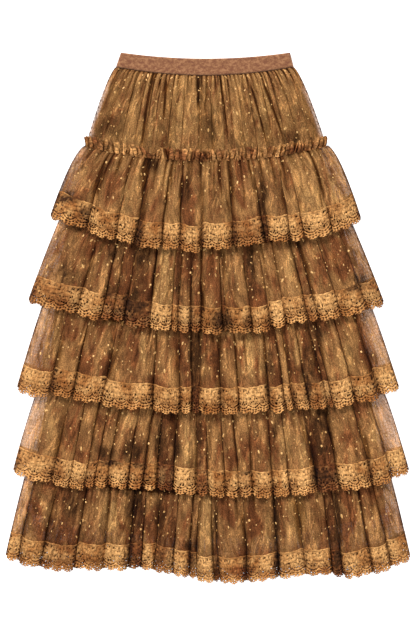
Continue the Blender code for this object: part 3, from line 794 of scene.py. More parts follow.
def sheer_sides(index, inward):
    """How much of what lies under it a ruffle's net covers: less beside its side edges,
    where it lies flat, but for the edge that is folded over."""
    flat = SHEER[index] * (1.0 - ease((inward - 1.5) / SHEER_WIDTHS[index]))
    return 0.9 - flat * (1.0 - 0.8 * ridge(inward, 1.3))


def ruffle_cloth(index, hem, down):
    """A ruffle's front at these places along its hem and these shares of its length."""
    tier, seam, seed = TIERS[index], seam_arc(index), FRONT_SEEDS[index]
    seam_x, seam_y, hem_y = ruffle_lines(index, hem)
    flared = np.clip(down, 0.0, 2.0) ** tier.flare
    base_x = seam_x + (hem.place - seam_x) * flared
    y = seam_y + (hem_y - seam_y) * down
    left = seam.left + (tier.hem.left - seam.left) * flared
    right = seam.right + (tier.hem.right - seam.right) * flared
    inward = np.minimum(base_x - left, right - base_x)
    tucked = np.clip(inward, 0.0, SIDE_RAMP) / SIDE_RAMP
    side = FRONT_Z + (SIDE_Z - FRONT_Z) * changed(SIDE_FALLING, down)
    floor = side + (valley_z(index, down) - side) * np.sin(np.pi / 2 * tucked)
    grown = FLATTEST_FOLD + (1.0 - FLATTEST_FOLD) * ease(down)
    along = (seam_y - hem_y) * down

    broad_z, broad_shine = gathers(seam, seam_x, down, RUFFLE_BROAD, seed)
    fine_z, fine_shine = gathers(seam, seam_x, down, RUFFLE_FINE, seed + 4)
    creases = known_creases(RUFFLE_CREASES[index], 1.7)
    creases += stray_creases(tier.hem, RUFFLE_STRAYS["front"], seed + 1)
    crease_z, crease_shine = crease_waves(hem.place, down, creases)
    held = np.clip(inward / 12.0, 0.0, 1.0)
    small = 0.5 * wander(hem.length + 0.35 * along, 15.0, seed + 2)
    small += 0.35 * wander(hem.length - 0.5 * along, 9.0, seed + 5)
    lifted = np.maximum(broad_z + fine_z + crease_z + small + 0.5, 0.0) * held
    z = floor + IN_WALL + hem.height * grown + lifted
    leant = wander(1.1 * hem.place, 80.0, seed + 3) * (1.0 - np.clip(down, 0.0, 1.0))
    bent = wander(along + 1.1 * hem.place, 95.0, seed + 9) * ease(down)
    x = base_x + hem.shift * grown + (7.5 * leant + 1.8 * bent) * held

    begins = 0.02 + 0.24 * wander(hem.place, 42.0, seed + 6)
    lit = np.clip((hem.shine + 1.15) / 1.45, 0.0, 1.3)
    narrowed = 2.0 ** (1.4 * wander(hem.place + 0.7 * along, 55.0, seed + 7))
    shine = 0.80 * (1.5 * lit**narrowed - 1.15) * ease((down - begins) / 0.34)
    shine = shine + 0.12 * wander(hem.place + 0.3 * along, 34.0, seed + 8)
    shine = shine + (0.9 * broad_shine + 0.9 * fine_shine + crease_shine)
    # Painted shade on the net hidden under the ruffle above, so that the lace's holes look dark,
    # and faint painted light just below that ruffle's hem; on the first ruffle, a painted shadow
    # under the heading
    if index:
        shine = shine - 1.6 * (1.0 - ease((along - OVERLAP + 7.0) / 6.0))
        shine = shine + 0.12 * ridge(along - OVERLAP - 5.0, 12.0)
    else:
        shine = shine - 0.7 * ridge(along, 3.0)
    # Painted shade along the side edge, darkest in dashes down its dense fold
    shine = shine - 0.1 * ridge(inward, 1.6) - 0.6 * side_dashes(inward, along, seed + 10)
    cover = sheer_sides(index, inward) - 0.1 * np.clip(shine, -1.0, 0.0)
    laid = hem.dye * (0.55 + 0.5 * ease(1.4 * down))
    return whole_cloth(x, y, z, shine, laid, cover, hem.length + NET_APART * index, along)


def ruffle_back_cloth(index, hem, down):
    """A ruffle's back on the floor, its top tucked up inside the ruffle above."""
    tier, seam, seed = TIERS[index], seam_arc(index), BACK_SEEDS[index]
    seam_x, seam_y, hem_y = ruffle_lines(index, hem)
    along = (seam_y - hem_y) * down
    floor = TUCKED_Z * np.clip(1.0 - (along - TUCK) / TUCK_RAMP, 0.0, 1.0) if index else 0.0
    strewn = stray_creases(tier.hem, RUFFLE_STRAYS["back"], seed)
    crease_z, crease_shine = crease_waves(hem.place, down, strewn)
    gather_z, gather_shine = gathers(seam, seam_x, down, RUFFLE_BACK, seed + 1)
    grown = 0.3 + 0.7 * ease(down)
    out = hem.height * grown + 0.25 * crease_z + gather_z
    x = seam_x + (hem.place - seam_x) * np.clip(down, 0.0, 2.0) ** tier.flare
    y = seam_y + (hem_y - seam_y) * down
    z = floor + BACK_UNDERSIDE - np.clip(out, 0.0, 1.0)
    inward = np.minimum(hem.place - tier.hem.left, tier.hem.right - hem.place)
    shine = 0.9 * hem.shine * grown + 0.9 * gather_shine + crease_shine + 0.1
    cover = 0.5 * sheer_sides(index, inward) + 0.35 * ease(inward / 60.0)
    return whole_cloth(x + hem.shift * grown, y, z, shine, hem.dye, cover, hem.length, along)


def tier_cloth(index, side, hem, down):
    """A ruffle's front or back."""
    return {"front": ruffle_cloth, "back": ruffle_back_cloth}[side](index, hem, down)


def net_shares(index, hem):
    """Rows of a ruffle's net, from its seam to just under the lace's top edge."""
    _, seam_y, hem_y = ruffle_lines(index, hem)
    length = seam_y - hem_y
    rows = round(float(length.max()) / NET_ROW)
    end = 1.0 - (LACE_DEPTH - NET_UNDER_LACE) / length
    return np.linspace(0.0, 1.0, rows)[:, None] * end


def lace_shares(index, hem, row):
    """Rows of a ruffle's lace: millimetres down it, and shares of the ruffle's length."""
    _, seam_y, hem_y = ruffle_lines(index, hem)
    down = np.arange(0.0, LACE_DEPTH + LACE_SPARE, row)[:, None]
    return down, 1.0 - (LACE_DEPTH - down) / (seam_y - hem_y)


def yoke_lines(hem):
    """The waist seam's place and height, the lower seam's height, and how far in from
    the yoke's side edges each place is."""
    top_x = spread(YOKE_SEAM.left, YOKE_SEAM.right, WAIST_SEAM.left, WAIST_SEAM.right, hem.place)
    inward = np.minimum(hem.place - YOKE_SEAM.left, YOKE_SEAM.right - hem.place)
    return top_x, arc_y(WAIST_SEAM, top_x) - SEAM, arc_y(YOKE_SEAM, hem.place), inward


def yoke_cover(inward, down):
    """How much the yoke's net covers: it is see-through beside its side edges."""
    return 0.95 - 0.52 * (1.0 - ease((inward - 2.0) / 13.0)) * ease(3.0 * down)


def yoke_front_cloth(hem, down, seed):
    """The yoke's front: fine gathers at the waist that open out into broad folds."""
    top_x, top_y, low_y, inward = yoke_lines(hem)
    swell = np.sin(np.pi * np.minimum(down / YOKE_PRESSED, 1.0))
    grown = YOKE_FLATTEST + (1.0 - YOKE_FLATTEST) * swell
    tucked = np.clip(inward, 0.0, SIDE_RAMP) / SIDE_RAMP
    lift = YOKE_SWELL * swell * np.sin(np.pi / 2 * tucked)
    first_z, first_shine = gathers(WAIST_SEAM, top_x, down, YOKE_FINE, seed)
    second_z, second_shine = gathers(WAIST_SEAM, top_x, down, YOKE_BROAD, seed + 1)
    low_z, low_shine = gathers(YOKE_SEAM, hem.place, 1.0 - down, YOKE_LOW, seed + 2)
    creases = known_creases(YOKE_CREASES, 2.6)
    creases += stray_creases(YOKE_SEAM, YOKE_STRAYS, seed + 3)
    crease_z, crease_shine = crease_waves(hem.place, down, creases)
    fine = (first_z + second_z + low_z) * (1.0 - 0.75 * ridge(down, 0.03)) + crease_z
    held = np.clip(inward / 10.0, 0.0, 1.0)
    x = top_x + (hem.place - top_x) * down**YOKE_FLARE + hem.shift * 0.6 * grown
    y = top_y + (low_y - top_y) * down
    z = FRONT_Z + IN_WALL + lift + hem.height * grown + np.maximum(fine, -1.5) * held
    shine = 0.16 * hem.shine * (0.2 + 0.8 * swell) + crease_shine
    shine += 0.45 * wander(hem.place + 22.0 * down, 26.0, seed + 5) * ease(2.0 * down)
    shine += 1.9 * first_shine + 1.0 * second_shine + 0.6 * low_shine + 0.12
    # A painted shadow along the waist seam
    shine -= 0.9 * ridge(down, 0.016)
    along = (top_y - low_y) * down
    # Painted shade in dashes down the side edges' dense folds, and darker towards the side edges
    dashes = side_dashes(inward, along + 0.2 * hem.place, seed + 7) * ease(4.0 * down)
    shine -= 1.3 * dashes + 0.55 * (1.0 - ease(inward / 20.0))
    cover = yoke_cover(inward, down) + 0.5 * dashes
    return whole_cloth(x, y, z, shine, 0.35 * hem.dye, cover, hem.length, along)


def yoke_back_cloth(hem, down, seed):
    """The yoke's back, flat on the floor and lifted over the heading under it."""
    top_x, top_y, low_y, inward = yoke_lines(hem)
    lifted = 1.0 - (HEADING_HEIGHT + 3.0) / (WAIST_SEAM.mid_y - YOKE_SEAM.mid_y)
    floor = TUCKED_Z * np.clip(1.0 + (down - lifted) / 0.08, 0.0, 1.0)
    gather_z, gather_shine = gathers(WAIST_SEAM, top_x, down, YOKE_BACK, seed)
    strewn = stray_creases(YOKE_SEAM, YOKE_STRAYS, seed + 1)
    crease_z, crease_shine = crease_waves(hem.place, down, strewn)
    out = hem.height + gather_z + 0.25 * crease_z
    z = floor + BACK_UNDERSIDE - np.clip(out, 0.0, 1.0)
    x = top_x + (hem.place - top_x) * down**YOKE_FLARE
    y = top_y + (low_y - top_y) * down
    shine = 0.8 * hem.shine * down + 1.0 * gather_shine + crease_shine + 0.1
    cover, along = yoke_cover(inward, down), (top_y - low_y) * down
    return whole_cloth(x, y, z, shine, hem.dye, cover, hem.length, along)


def yoke_cloth(side, hem, down):
    """The yoke's front or back."""
    build = {"front": yoke_front_cloth, "back": yoke_back_cloth}[side]
    return build(hem, down, YOKE_SEEDS[side])


def heading_height(base):
    """How high the heading stands, which is less in one place."""
    notch = ridge(base - HEADING_NOTCH_X, HEADING_NOTCH_WIDTH)
    return HEADING_HEIGHT * (1.0 - HEADING_NOTCH_DEPTH * notch)


def heading_cloth(seed):
    """The heading: a narrow doubled frill, gathered into crumpled loops."""
    rng = np.random.default_rng(seed)
    steps = np.arange(HEADING_PLEATS + 1)
    widths = rng.uniform(0.3, 2.0, HEADING_PLEATS)
    widths *= (YOKE_SEAM.right - YOKE_SEAM.left) / widths.sum()
    edges = YOKE_SEAM.left + np.concatenate([[0.0], np.cumsum(widths)])
    turns = np.linspace(0.0, HEADING_PLEATS, HEADING_PLEATS * HEADING_COLUMNS + 1)
    up = np.linspace(0.0, 1.0, HEADING_ROWS)[::-1, None]

    def uneven(least, most):
        return np.interp(turns, steps, rng.uniform(least, most, len(steps)))

    base = np.interp(turns, steps, edges)
    angle = 2.0 * np.pi * turns + 1.8 * up * wander(base, 17.0, seed + 4)
    opened = 0.45 + 0.55 * np.sin(np.pi * np.clip(0.15 + 0.75 * up, 0.0, 1.0))
    bulge = 0.5 - 0.5 * np.cos(angle)
    pitch = np.interp(turns, steps[:-1] + 0.5, widths)
    ends = np.clip(np.minimum(turns, HEADING_PLEATS - turns), 0.0, 1.0)
    crumpled = wander(base + 6.0 * up, 5.5, seed + 1)
    loops = 0.2 * pitch * np.sin(2.0 * angle) * opened
    x = base * (1.0 + 0.012 * up) + (loops + uneven(-5.5, 5.5) * up + 1.3 * crumpled) * ends
    x = x + 1.3 * wander(20.0 * up, 9.0, seed + 6)
    low_y = arc_y(YOKE_SEAM, base) - SEAM - uneven(2.4, 4.2) * (1.0 - up)
    reach = uneven(0.78, 0.92) + uneven(0.10, 0.28) * bulge
    y = low_y + heading_height(base) * up * reach
    y = y + 1.7 * wander(base - 5.0 * up, 7.5, seed + 2) * up
    depth = uneven(0.55, 1.15) * HEADING_WAVE * bulge * opened
    curl = 1.1 * wander(9.0 * up + base, 6.5, seed + 3) * np.sin(np.pi * up)
    z = HEADING_Z + IN_WALL + np.maximum(depth + curl, 0.0) * ends
    # Painted light and shade of the crumpled loops, with a painted highlight along the top edge
    shine = uneven(0.45, 1.35) * bulge * opened - 0.42 + 0.65 * crumpled
    shine = shine + 0.5 * ridge(up - 1.0, 0.1)
    laid = uneven(-0.5, 0.6)
    return whole_cloth(x, y, z, shine, laid, 1.0, 1.25 * base, HEADING_HEIGHT * up)


def heading_back_cloth(seed):
    """The heading's back, pressed flat under the yoke's back."""
    rows, columns = HEADING_BACK_GRID
    up = np.linspace(0.0, 1.0, rows)[::-1, None]
    base = np.linspace(YOKE_SEAM.left, YOKE_SEAM.right, columns)
    wave = wander(base, 8.0, seed)
    y = arc_y(YOKE_SEAM, base) + SEAM + (heading_height(base) + 0.7 * wave - 1.0) * up
    laid = 0.4 * wander(base, 40.0, seed + 1)
    z, shine = 0.65 + 0.3 * wave, 0.4 * wave
    return whole_cloth(base, y, z, shine, laid, 1.0, 1.9 * base, HEADING_HEIGHT * up)


def underskirt_cloth(z, seed):
    """A flared panel from the waist seam to its own hem, inside the ruffles."""
    seams = [WAIST_SEAM, YOKE_SEAM, *[seam_arc(index) for index in range(1, 5)], UNDERSKIRT_HEM]
    rows = np.linspace(0.0, len(seams) - 1.0, UNDERSKIRT_GRID)

    def down_it(values):
        return np.interp(rows, np.arange(len(seams)), values)

    ends = [(s.left + inset, s.right - inset) for s, inset in zip(seams, UNDERSKIRT_INSETS)]
    left, right = [smooth(down_it(values), 3)[:, None] for values in zip(*ends)]
    end_y = down_it([s.end_y for s in seams])[:, None]
    mid_y = down_it([s.mid_y for s in seams])[:, None]
    across = np.linspace(-1.0, 1.0, UNDERSKIRT_GRID)
    x = (left + right) / 2.0 + (right - left) / 2.0 * across
    y = mid_y + (end_y - mid_y) * across**2 - SEAM
    wave = wander(x + 0.25 * y, 46.0, seed)
    laid = 0.3 * wander(x + 0.6 * y, 90.0, seed + 1)
    return whole_cloth(x, y, z + IN_WALL + 0.35 * wave, 0.4 * wave, laid, 1.0, x, y)


# Rows of holes round the middle of each scallop's arcs: their distance from it, the
# angle from hole to hole, half a hole's length and width, and how far round they go
HoleRow = namedtuple("HoleRow", "radius step half_length half_width reach")

ARC_MIDDLE = 25.0
HOLE_ROWS = listed(HoleRow, (
    (13.0, 0.385, 1.95, 1.2, 0.96), (17.4, 0.37, 1.7, 1.6, 0.72), (21.6, 0.29, 1.55, 1.4, 0.5),
))
ARC_CORDS = ((10.9, 0.6), (15.2, 0.9), (19.5, 0.8), (23.7, 1.0))  # distance, height

# Petals and leaves over the arcs: the middle of each from the scallop's middle line and
# the lace's top edge, half its length and width, how it is turned, and which scallops
# have it: all (0), odd (1) or even (2) ones
Petal = namedtuple("Petal", "across down half_length half_width turned which")

PETALS = listed(Petal, (
    (0.0, 8.4, 4.6, 2.6, 1.57, 1), (0.0, 19.4, 4.8, 2.6, 1.57, 1),
    (5.2, 10.8, 4.8, 2.5, -0.45, 1), (5.0, 17.0, 4.8, 2.4, 0.6, 1),
    (0.0, 13.9, 1.6, 1.6, 0.0, 1), (3.6, 7.6, 5.2, 2.5, 0.7, 2),
    (5.8, 14.6, 5.6, 2.6, 0.95, 2), (0.0, 20.6, 4.6, 2.3, 1.57, 2),
    (0.0, 13.2, 2.6, 1.7, 1.57, 2), (11.75, 7.4, 4.0, 2.6, 1.57, 0),
    (10.4, 16.6, 4.6, 2.2, 1.25, 0), (11.0, 26.0, 4.4, 2.0, 1.4, 0),
    (5.0, 25.0, 3.4, 1.8, -0.35, 0),
))
GROUND_CELL = 4.8  # between the small holes in the ground round the petals
PICOTS = 4  # small loops along the edge of each scallop
PICOT_DEPTH = 2.0
FAR = 9.0  # from a hole or petal that isn't there


def strewn_over(row, column, seed):
    """A share from 0 to 1 for each cell of a grid, unlike its neighbours'."""
    return (np.sin(12.9898 * row + 78.233 * column + 3.7 * seed) * 43758.5453) % 1.0


def outside_oval(across, down, half_length, half_width, turned=0.0):
    """How far outside an oval a point is, from the oval's middle."""
    along = across * np.cos(turned) + down * np.sin(turned)
    over = down * np.cos(turned) - across * np.sin(turned)
    size = np.sqrt((along / half_length) ** 2 + (over / half_width) ** 2)
    return (size - 1.0) * np.minimum(half_length, half_width)


def lace_cloth(scallops, down, opened):
    """How far a point is inside the lace's cords (below 0 in a hole or past the edge),
    and how far up the embroidery stands there, from 0 to 1."""
    along = SCALLOP_PITCH * scallops
    shifted = scallops + 0.045 * wander(along + 1.3 * down, 15.0, 5)
    lowered = down + 1.1 * wander(along - 0.9 * down, 17.0, 6)
    number = np.floor(shifted)
    off = (shifted - number - 0.5) * SCALLOP_PITCH
    side = np.abs(off)
    lobe = np.abs(np.sin(np.pi * shifted)) ** 0.8
    picots = np.abs(np.sin(np.pi * PICOTS * shifted)) ** 0.7
    edge = LACE_DEPTH - SCALLOP_DEPTH * (1.0 - lobe) + PICOT_DEPTH * (picots - 0.6)
    edge = edge + 0.8 * wander(along, 21.0, 4) - 0.5
    top = 0.9 + 0.9 * wander(along, 12.0, 8)
    solid = np.minimum(edge - down, down - top)
    radius = np.hypot(off, lowered - ARC_MIDDLE) - 0.7 * wander(along, 27.0, 3)
    angle = np.arctan2(off, lowered - ARC_MIDDLE)
    raised = (0.75 + 0.25 * wander(along, 14.0, 9)) * ridge(down - 1.6, 1.1)
    open_share = opened * (0.98 + 0.24 * wander(along + 0.7 * down, 6.0, 7))

    # The arcs
    for row in HOLE_ROWS:
        turned = (angle / row.step) % 1.0 - 0.5
        half = row.half_length * open_share, row.half_width * open_share
        hole = outside_oval(row.radius * row.step * turned, radius - row.radius, *half)
        away = np.maximum(np.abs(angle) - row.reach, 0.0) * row.radius
        solid = np.minimum(solid, np.maximum(hole, away))
    for distance, height in ARC_CORDS:
        raised += height * (np.abs(angle) < 1.0) * ridge(radius - distance, 0.85)

    # The petals and leaves, each with a vein
    odd = number % 2 == 1
    gap = np.full(solid.shape, FAR)
    dome = np.zeros(solid.shape)
    for petal in PETALS:
        x, y = side - petal.across, lowered - petal.down
        half = 0.9 * petal.half_length, 0.85 * petal.half_width
        here = outside_oval(x, y, *half, petal.turned)
        if petal.which:
            here = np.where(odd == (petal.which == 1), here, FAR)
        gap = np.minimum(gap, here)
        over = np.cos(petal.turned) * y - np.sin(petal.turned) * x
        full = np.clip(-here / petal.half_width, 0.0, 1.0) ** 0.5
        dome = np.maximum(dome, full * (1.0 - 0.4 * ridge(over, 0.55)))
    raised += 0.95 * dome

    # The small holes in the ground between them
    strayed = (lowered + 1.1 * wander(along + 2.3 * down, 8.0, 10)) / GROUND_CELL
    row = np.floor(strayed)
    placed = (off + 1.1 * wander(along - 1.9 * down, 9.0, 11)) / GROUND_CELL + 0.5 * (row % 2)
    column = np.floor(placed) + 100.0 * number
    size = open_share * (0.75 + 0.5 * strewn_over(row, column, 1))
    hole = outside_oval(
        (placed % 1.0 - 0.5) * GROUND_CELL - 1.5 * (strewn_over(row, column, 2) - 0.5),
        (strayed % 1.0 - 0.5) * GROUND_CELL - 1.5 * (strewn_over(row, column, 3) - 0.5),
        1.60 * size,
        1.20 * size,
        np.pi * strewn_over(row, column, 4),
    )
    hole = np.where(strewn_over(row, column, 5) < 0.9, hole, FAR)
    in_arcs = np.minimum(radius - ARC_CORDS[0][0], (1.02 - np.abs(angle)) * radius)
    ground = np.maximum(np.maximum(hole, 0.45 - gap), in_arcs)
    ground = np.maximum(ground, np.maximum(4.0 - down, 4.2 - edge + down))
    solid = np.minimum(solid, ground)
    raised += 0.9 * ridge(edge - down - 1.1, 0.9) + 0.35 * ridge(solid - 0.8, 0.5)
    return solid, np.clip(raised, 0.0, 1.2)


def add_node(tree, kind, sockets=(), stops=(), **settings):
    """Adds a shader node with these settings and a ramp's stops, sets or links its
    sockets, by name or in their order, and gives its outputs."""
    node = tree.nodes.new("ShaderNode" + kind)
    for label, value in settings.items():
        setattr(node, label, value)
    for at, (place, colour) in enumerate(stops):
        if 0 < at < len(stops) - 1:
            element = node.color_ramp.elements.new(place)
        else:
            element = node.color_ramp.elements[0 if at == 0 else -1]
            element.position = place
        element.color = (*colour, 1.0)
    for label, value in sockets.items() if isinstance(sockets, dict) else enumerate(sockets):
        if isinstance(value, bpy.types.NodeSocket):
            tree.links.new(value, node.inputs[label])
        else:
            node.inputs[label].default_value = value
    return node.outputs


def new_finish(name):
    """A material without nodes, and what adds them to it."""
    finish = bpy.data.materials.new(name)
    finish.use_nodes = True
    finish.node_tree.nodes.clear()
    return finish, partial(add_node, finish.node_tree)


def read_cloth(add):
    """The nodes that read what cloth_attributes wrote: the look, thread and dye."""
    look, thread, dye = [
        add("Attribute", attribute_name=label)["Vector"] for label in ("look", "thread", "dye")
    ]
    return add("SeparateXYZ", (look,)), thread, add("SeparateXYZ", (dye,))


def strokes(add, vector, across, along, turned=0.0, wobble=0.0, detail=2.0):
    """Uneven strokes along a piece, this wide and this long, turned by an angle."""
    turned, size = (0.0, 0.0, turned), (across, along, 1.0)
    laid = {"Vector": vector, "Rotation": turned, "Scale": size}
    laid = add("Mapping", laid, vector_type="TEXTURE")[0]
    uneven = {"Vector": laid, "Scale": 1.0, "Detail": detail, "Roughness": 0.6}
    return add("TexNoise", {**uneven, "Distortion": wobble}, noise_dimensions="2D")[0]


def crease_lines(add, vector, across, along, turned, sharp):
    """Thin creases along a piece, where a noise crosses its middle: 1 on them."""
    wave = strokes(add, vector, across, along, turned, 0.5, 1.0)
    off = add("Math", (wave, 0.5), operation="SUBTRACT")[0]
    off = add("Math", (off,), operation="ABSOLUTE")[0]
    return add("MapRange", (off, 0.0, sharp, 1.0, 0.0))[0]


def blobs(add, vector, size, light, dark):
    """Painted light and shade of crumpled stitches or loops of this size: a painted highlight in
    the middle, painted shade in between.
    """
    swayed = {"Vector": vector, "Scale": 0.7 / size, "Detail": 1.0}
    swayed = add("TexNoise", swayed, noise_dimensions="2D")["Color"]
    moved = (swayed, (1.1 * size, 1.1 * size, 0.0), vector)
    moved = add("VectorMath", moved, operation="MULTIPLY_ADD")[0]
    away = {"Vector": moved, "Scale": 1.0 / size, "Randomness": 0.9}
    away = add("TexVoronoi", away, voronoi_dimensions="2D")["Distance"]
    return add("MapRange", (away, 0.12, 0.62, light, dark))[0]


def dye_over(add, ground, dark, rust, gold, dye, ragged):
    """Lays the dyes over a ground, each with ragged edges."""
    torn = add("Math", (ragged, 2.6, -1.3), operation="MULTIPLY_ADD")[0]
    for part, colour, start in (("Y", rust, 0.12), ("Z", gold, 0.15), ("X", dark, 0.10)):
        deep = add("Math", (torn, dye[part], dye[part]), operation="MULTIPLY_ADD")[0]
        deep = add("MapRange", (deep, start, 0.95))[0]
        ground = add("Mix", {0: deep, 6: ground, 7: (*colour, 1.0)}, data_type="RGBA")[2]
    return ground


def shaded_by(add, ground, look, steps, tone):
    """A ground in the shade of its folds and gathers, near black in the depth of a valley
    and warmer than the cloth where it turns away, and then in this tone."""
    lit = add("MapRange", (look["X"], -1.0, 1.0, 0.0, 1.0))[0]
    for shade in (add("ValToRGB", (lit,), steps)[0], tone):
        laid = {0: 1.0, 6: ground, 7: shade}
        ground = add("Mix", laid, data_type="RGBA", blend_type="MULTIPLY")[2]
    return ground


def net_finish(name, colours, sizes, doubled=False, crumpled=0.0):
    """Tie-dyed nylon bobbinet, gathered: threads about 0.2 mm thick round open cells, so
    what lies under it shows through where it is flat, and it turns denser and streaked
    along its gathers. The cells are drawn coarser than the real ones so as to show."""
    finish, add = new_finish(name)
    look, thread, dye = read_cloth(add)
    cell = sizes.net_cell / MM
    cells = {"Vector": thread, "Scale": (cell, 1.4 * cell, 1.0)}
    cells = {"Vector": add("Mapping", cells, vector_type="TEXTURE")[0], "Scale": 1.0}
    cells["Randomness"] = 0.75
    cells = add("TexVoronoi", cells, feature="DISTANCE_TO_EDGE", voronoi_dimensions="2D")
    line = add("MapRange", (cells["Distance"], 0.05, 0.13, 1.0, 0.0))[0]

    # Clouds of brown, with the dyes over them, and paler where the net is thin, a painted glow of
    # the light that comes through it
    cloud = sizes.dye_cloud / MM
    mottle = strokes(add, thread, cloud, 2.0 * cloud, 0.06, 0.4)
    ground = add("ValToRGB", (mottle,), (
        (0.18, colours.net_deep), (0.38, colours.net_brown),
        (0.55, colours.net_olive), (0.80, colours.net_tan),
    ))[0]
    dyes = (colours.net_dark, colours.net_rust, colours.net_gold)
    ragged = strokes(add, thread, 10.0, 24.0, 0.15, 0.4)
    ground = dye_over(add, ground, *dyes, dye, ragged)
    thin = add("MapRange", (look["Y"], 0.86, 0.52, 0.0, 0.85))[0]
    sheer = {0: thin, 6: ground, 7: (*colours.net_sheer, 1.0)}
    ground = add("Mix", sheer, data_type="RGBA")[2]

    # Streaks along the gathers, creases across them with a painted highlight on their ridges and
    # painted shade in their furrows, where the net is also drawn denser, and a grain of tangled
    # threads
    streak = strokes(add, thread, 4.0, 60.0, 0.0, 0.3)
    pleats = add("MapRange", (streak, 0.30, 0.70, 0.92, 1.08))[0]
    raised = crease_lines(add, thread, 11.0, 52.0, 0.24, 0.07)
    places = strokes(add, thread, 30.0, 36.0, detail=1.0)
    places = add("MapRange", (places, 0.42, 0.56, 0.0, 1.0))[0]
    raised = add("Math", (raised, places), operation="MULTIPLY")[0]
    raised = add("Math", (raised, 0.88, 0.93), operation="MULTIPLY_ADD")[0]
    furrow = crease_lines(add, thread, 12.0, 46.0, -0.26, 0.07)
    sunk = add("Math", (furrow, -0.45, 1.08), operation="MULTIPLY_ADD")[0]
    grain = strokes(add, thread, 1.7, 2.8, 0.45, detail=1.0)
    grain = add("MapRange", (grain, 0.32, 0.68, 0.72, 1.30))[0]
    crossing = strokes(add, thread, 1.8, 3.0, -0.50, detail=1.0)
    crossing = add("MapRange", (crossing, 0.32, 0.68, 0.80, 1.20))[0]
    grain = add("Math", (grain, crossing), operation="MULTIPLY")[0]
    evenly = add("Math", (thin, 0.75), operation="MULTIPLY")[0]
    grain = add("Mix", {0: evenly, 2: grain, 3: 1.0}, data_type="FLOAT")[0]
    lines = add("MapRange", (thin, 0.0, 0.85, -0.12, -0.40))[0]
    lines = add("Math", (lines, line), operation="MULTIPLY")[0]
    lines = add("Math", (lines, 1.05), operation="ADD")[0]
    grain = add("Math", (sunk, grain), operation="MULTIPLY")[0]
    loops = [blobs(add, thread, crumpled, 1.9, 0.85)] if crumpled else []
    tone = pleats
    for part in (raised, grain, lines, *loops, NET_BRIGHTEST):
        tone = add("Math", (tone, part), operation="MULTIPLY")[0]

    alpha = 1.0
    if not doubled:
        thick = add("Math", (streak, 0.9, 0.55), operation="MULTIPLY_ADD")[0]
        cover = add("Math", (look["Y"], thick), operation="MULTIPLY")[0]
        dense = add("Math", (line, furrow), operation="MAXIMUM")[0]
        alpha = (dense, 0.24, cover)
        alpha = add("Math", alpha, operation="MULTIPLY_ADD", use_clamp=True)[0]
    bump = add("Bump", {"Height": tone, "Strength": 0.5, "Distance": 0.0012})[0]
    woven = {"Height": line, "Strength": 0.25, "Distance": 0.0004, "Normal": bump}
    shader = add("BsdfPrincipled", {
        "Base Color": shaded_by(add, ground, look, NET_SHADES, tone),
        "Alpha": alpha,
        "Normal": add("Bump", woven)[0],
        "Roughness": 0.6,
        "Specular IOR Level": 0.06,
        "Sheen Weight": 0.02,
        "Sheen Roughness": 0.4,
    })
    add("OutputMaterial", {"Surface": shader["BSDF"]})
    return finish


def lace_finish(name, colours):
    """Dyed guipure lace, embroidered cords with no ground between them: matt cotton
    thread, drawn with a painted highlight on its raised cords and painted shade in its hollows."""
    finish, add = new_finish(name)
    look, thread, dye = read_cloth(add)
    place = add("TexCoord")["Object"]
    stitches = {"Vector": thread, "Scale": 1.0 / 1.6, "Detail": 2.0, "Roughness": 0.6}
    rough = add("Math", (add("TexNoise", stitches)[0], 0.5), operation="MULTIPLY")[0]
    height = add("Math", (look["Z"], 0.55, rough), operation="MULTIPLY_ADD")[0]
    mottle, ragged = [
        add("TexNoise", {"Vector": place, "Scale": scale, "Detail": 4.0, "Roughness": 0.6})[0]
        for scale in (52.0, 130.0)
    ]
    ground = add("ValToRGB", (mottle,), (
        (0.34, colours.lace_deep), (0.50, colours.lace_brown), (0.64, colours.lace_tan),
    ))[0]
    dyes = (colours.lace_dark, colours.lace_rust, colours.lace_gold)
    ground = dye_over(add, ground, *dyes, dye, ragged)

    # A painted highlight on the cords and painted shade in the hollows, and painted light and shade
    # of crumpled stitches where the ground is close, less over the arcs
    relief = add("MapRange", (height, 0.16, 0.95, 0.44, 1.20))[0]
    over_arcs = add("SeparateXYZ", (thread,))["Z"]
    over_arcs = add("MapRange", (over_arcs, 26.0, 36.0, 0.85, 0.25))[0]
    crumpled = {0: over_arcs, 2: 1.0, 3: blobs(add, thread, 3.8, 1.08, 0.60)}
    crumpled = add("Mix", crumpled, data_type="FLOAT")[0]
    tone = add("Math", (relief, crumpled), operation="MULTIPLY")[0]
    tone = add("Math", (tone, LACE_BRIGHTEST), operation="MULTIPLY")[0]
    bump = {"Height": height, "Strength": 0.7, "Distance": 0.0014}
    shader = add("BsdfPrincipled", {
        "Base Color": shaded_by(add, ground, look, LACE_SHADES, tone),
        "Normal": add("Bump", bump)[0],
        "Roughness": 0.75,
        "Specular IOR Level": 0.12,
    })
    add("OutputMaterial", {"Surface": shader["BSDF"]})
    return finish


def suede_finish(name, colours):
    """Faux suede, brushed polyester: a short even nap that scatters light softly and
    shows faint bands where it has been stroked along the band."""
    finish, add = new_finish(name)
    place = add("TexCoord")["Object"]
    pulled = add("Mapping", {"Vector": place, "Scale": (130.0, 190.0, 130.0)})[0]
    bands = {"Vector": pulled, "Scale": 1.0, "Detail": 4.0, "Roughness": 0.62}
    nap = {"Vector": place, "Scale": 430.0, "Detail": 3.0, "Roughness": 0.7}
    both = (add("TexNoise", nap)[0], 0.5, add("TexNoise", bands)[0])
    both = add("Math", both, operation="MULTIPLY_ADD")[0]
    stops = (0.63, colours.suede_dark), (0.75, colours.suede), (0.87, colours.suede_light)
    bump = {"Height": both, "Strength": 0.4, "Distance": 0.0006}
    shader = add("BsdfPrincipled", {
        "Base Color": add("ValToRGB", (both,), stops)[0],
        "Normal": add("Bump", bump)[0],
        "Roughness": 0.92,
        "Specular IOR Level": 0.2,
        "Sheen Weight": 0.35,
        "Sheen Roughness": 0.5,
    })
    add("OutputMaterial", {"Surface": shader["BSDF"]})
    return finish


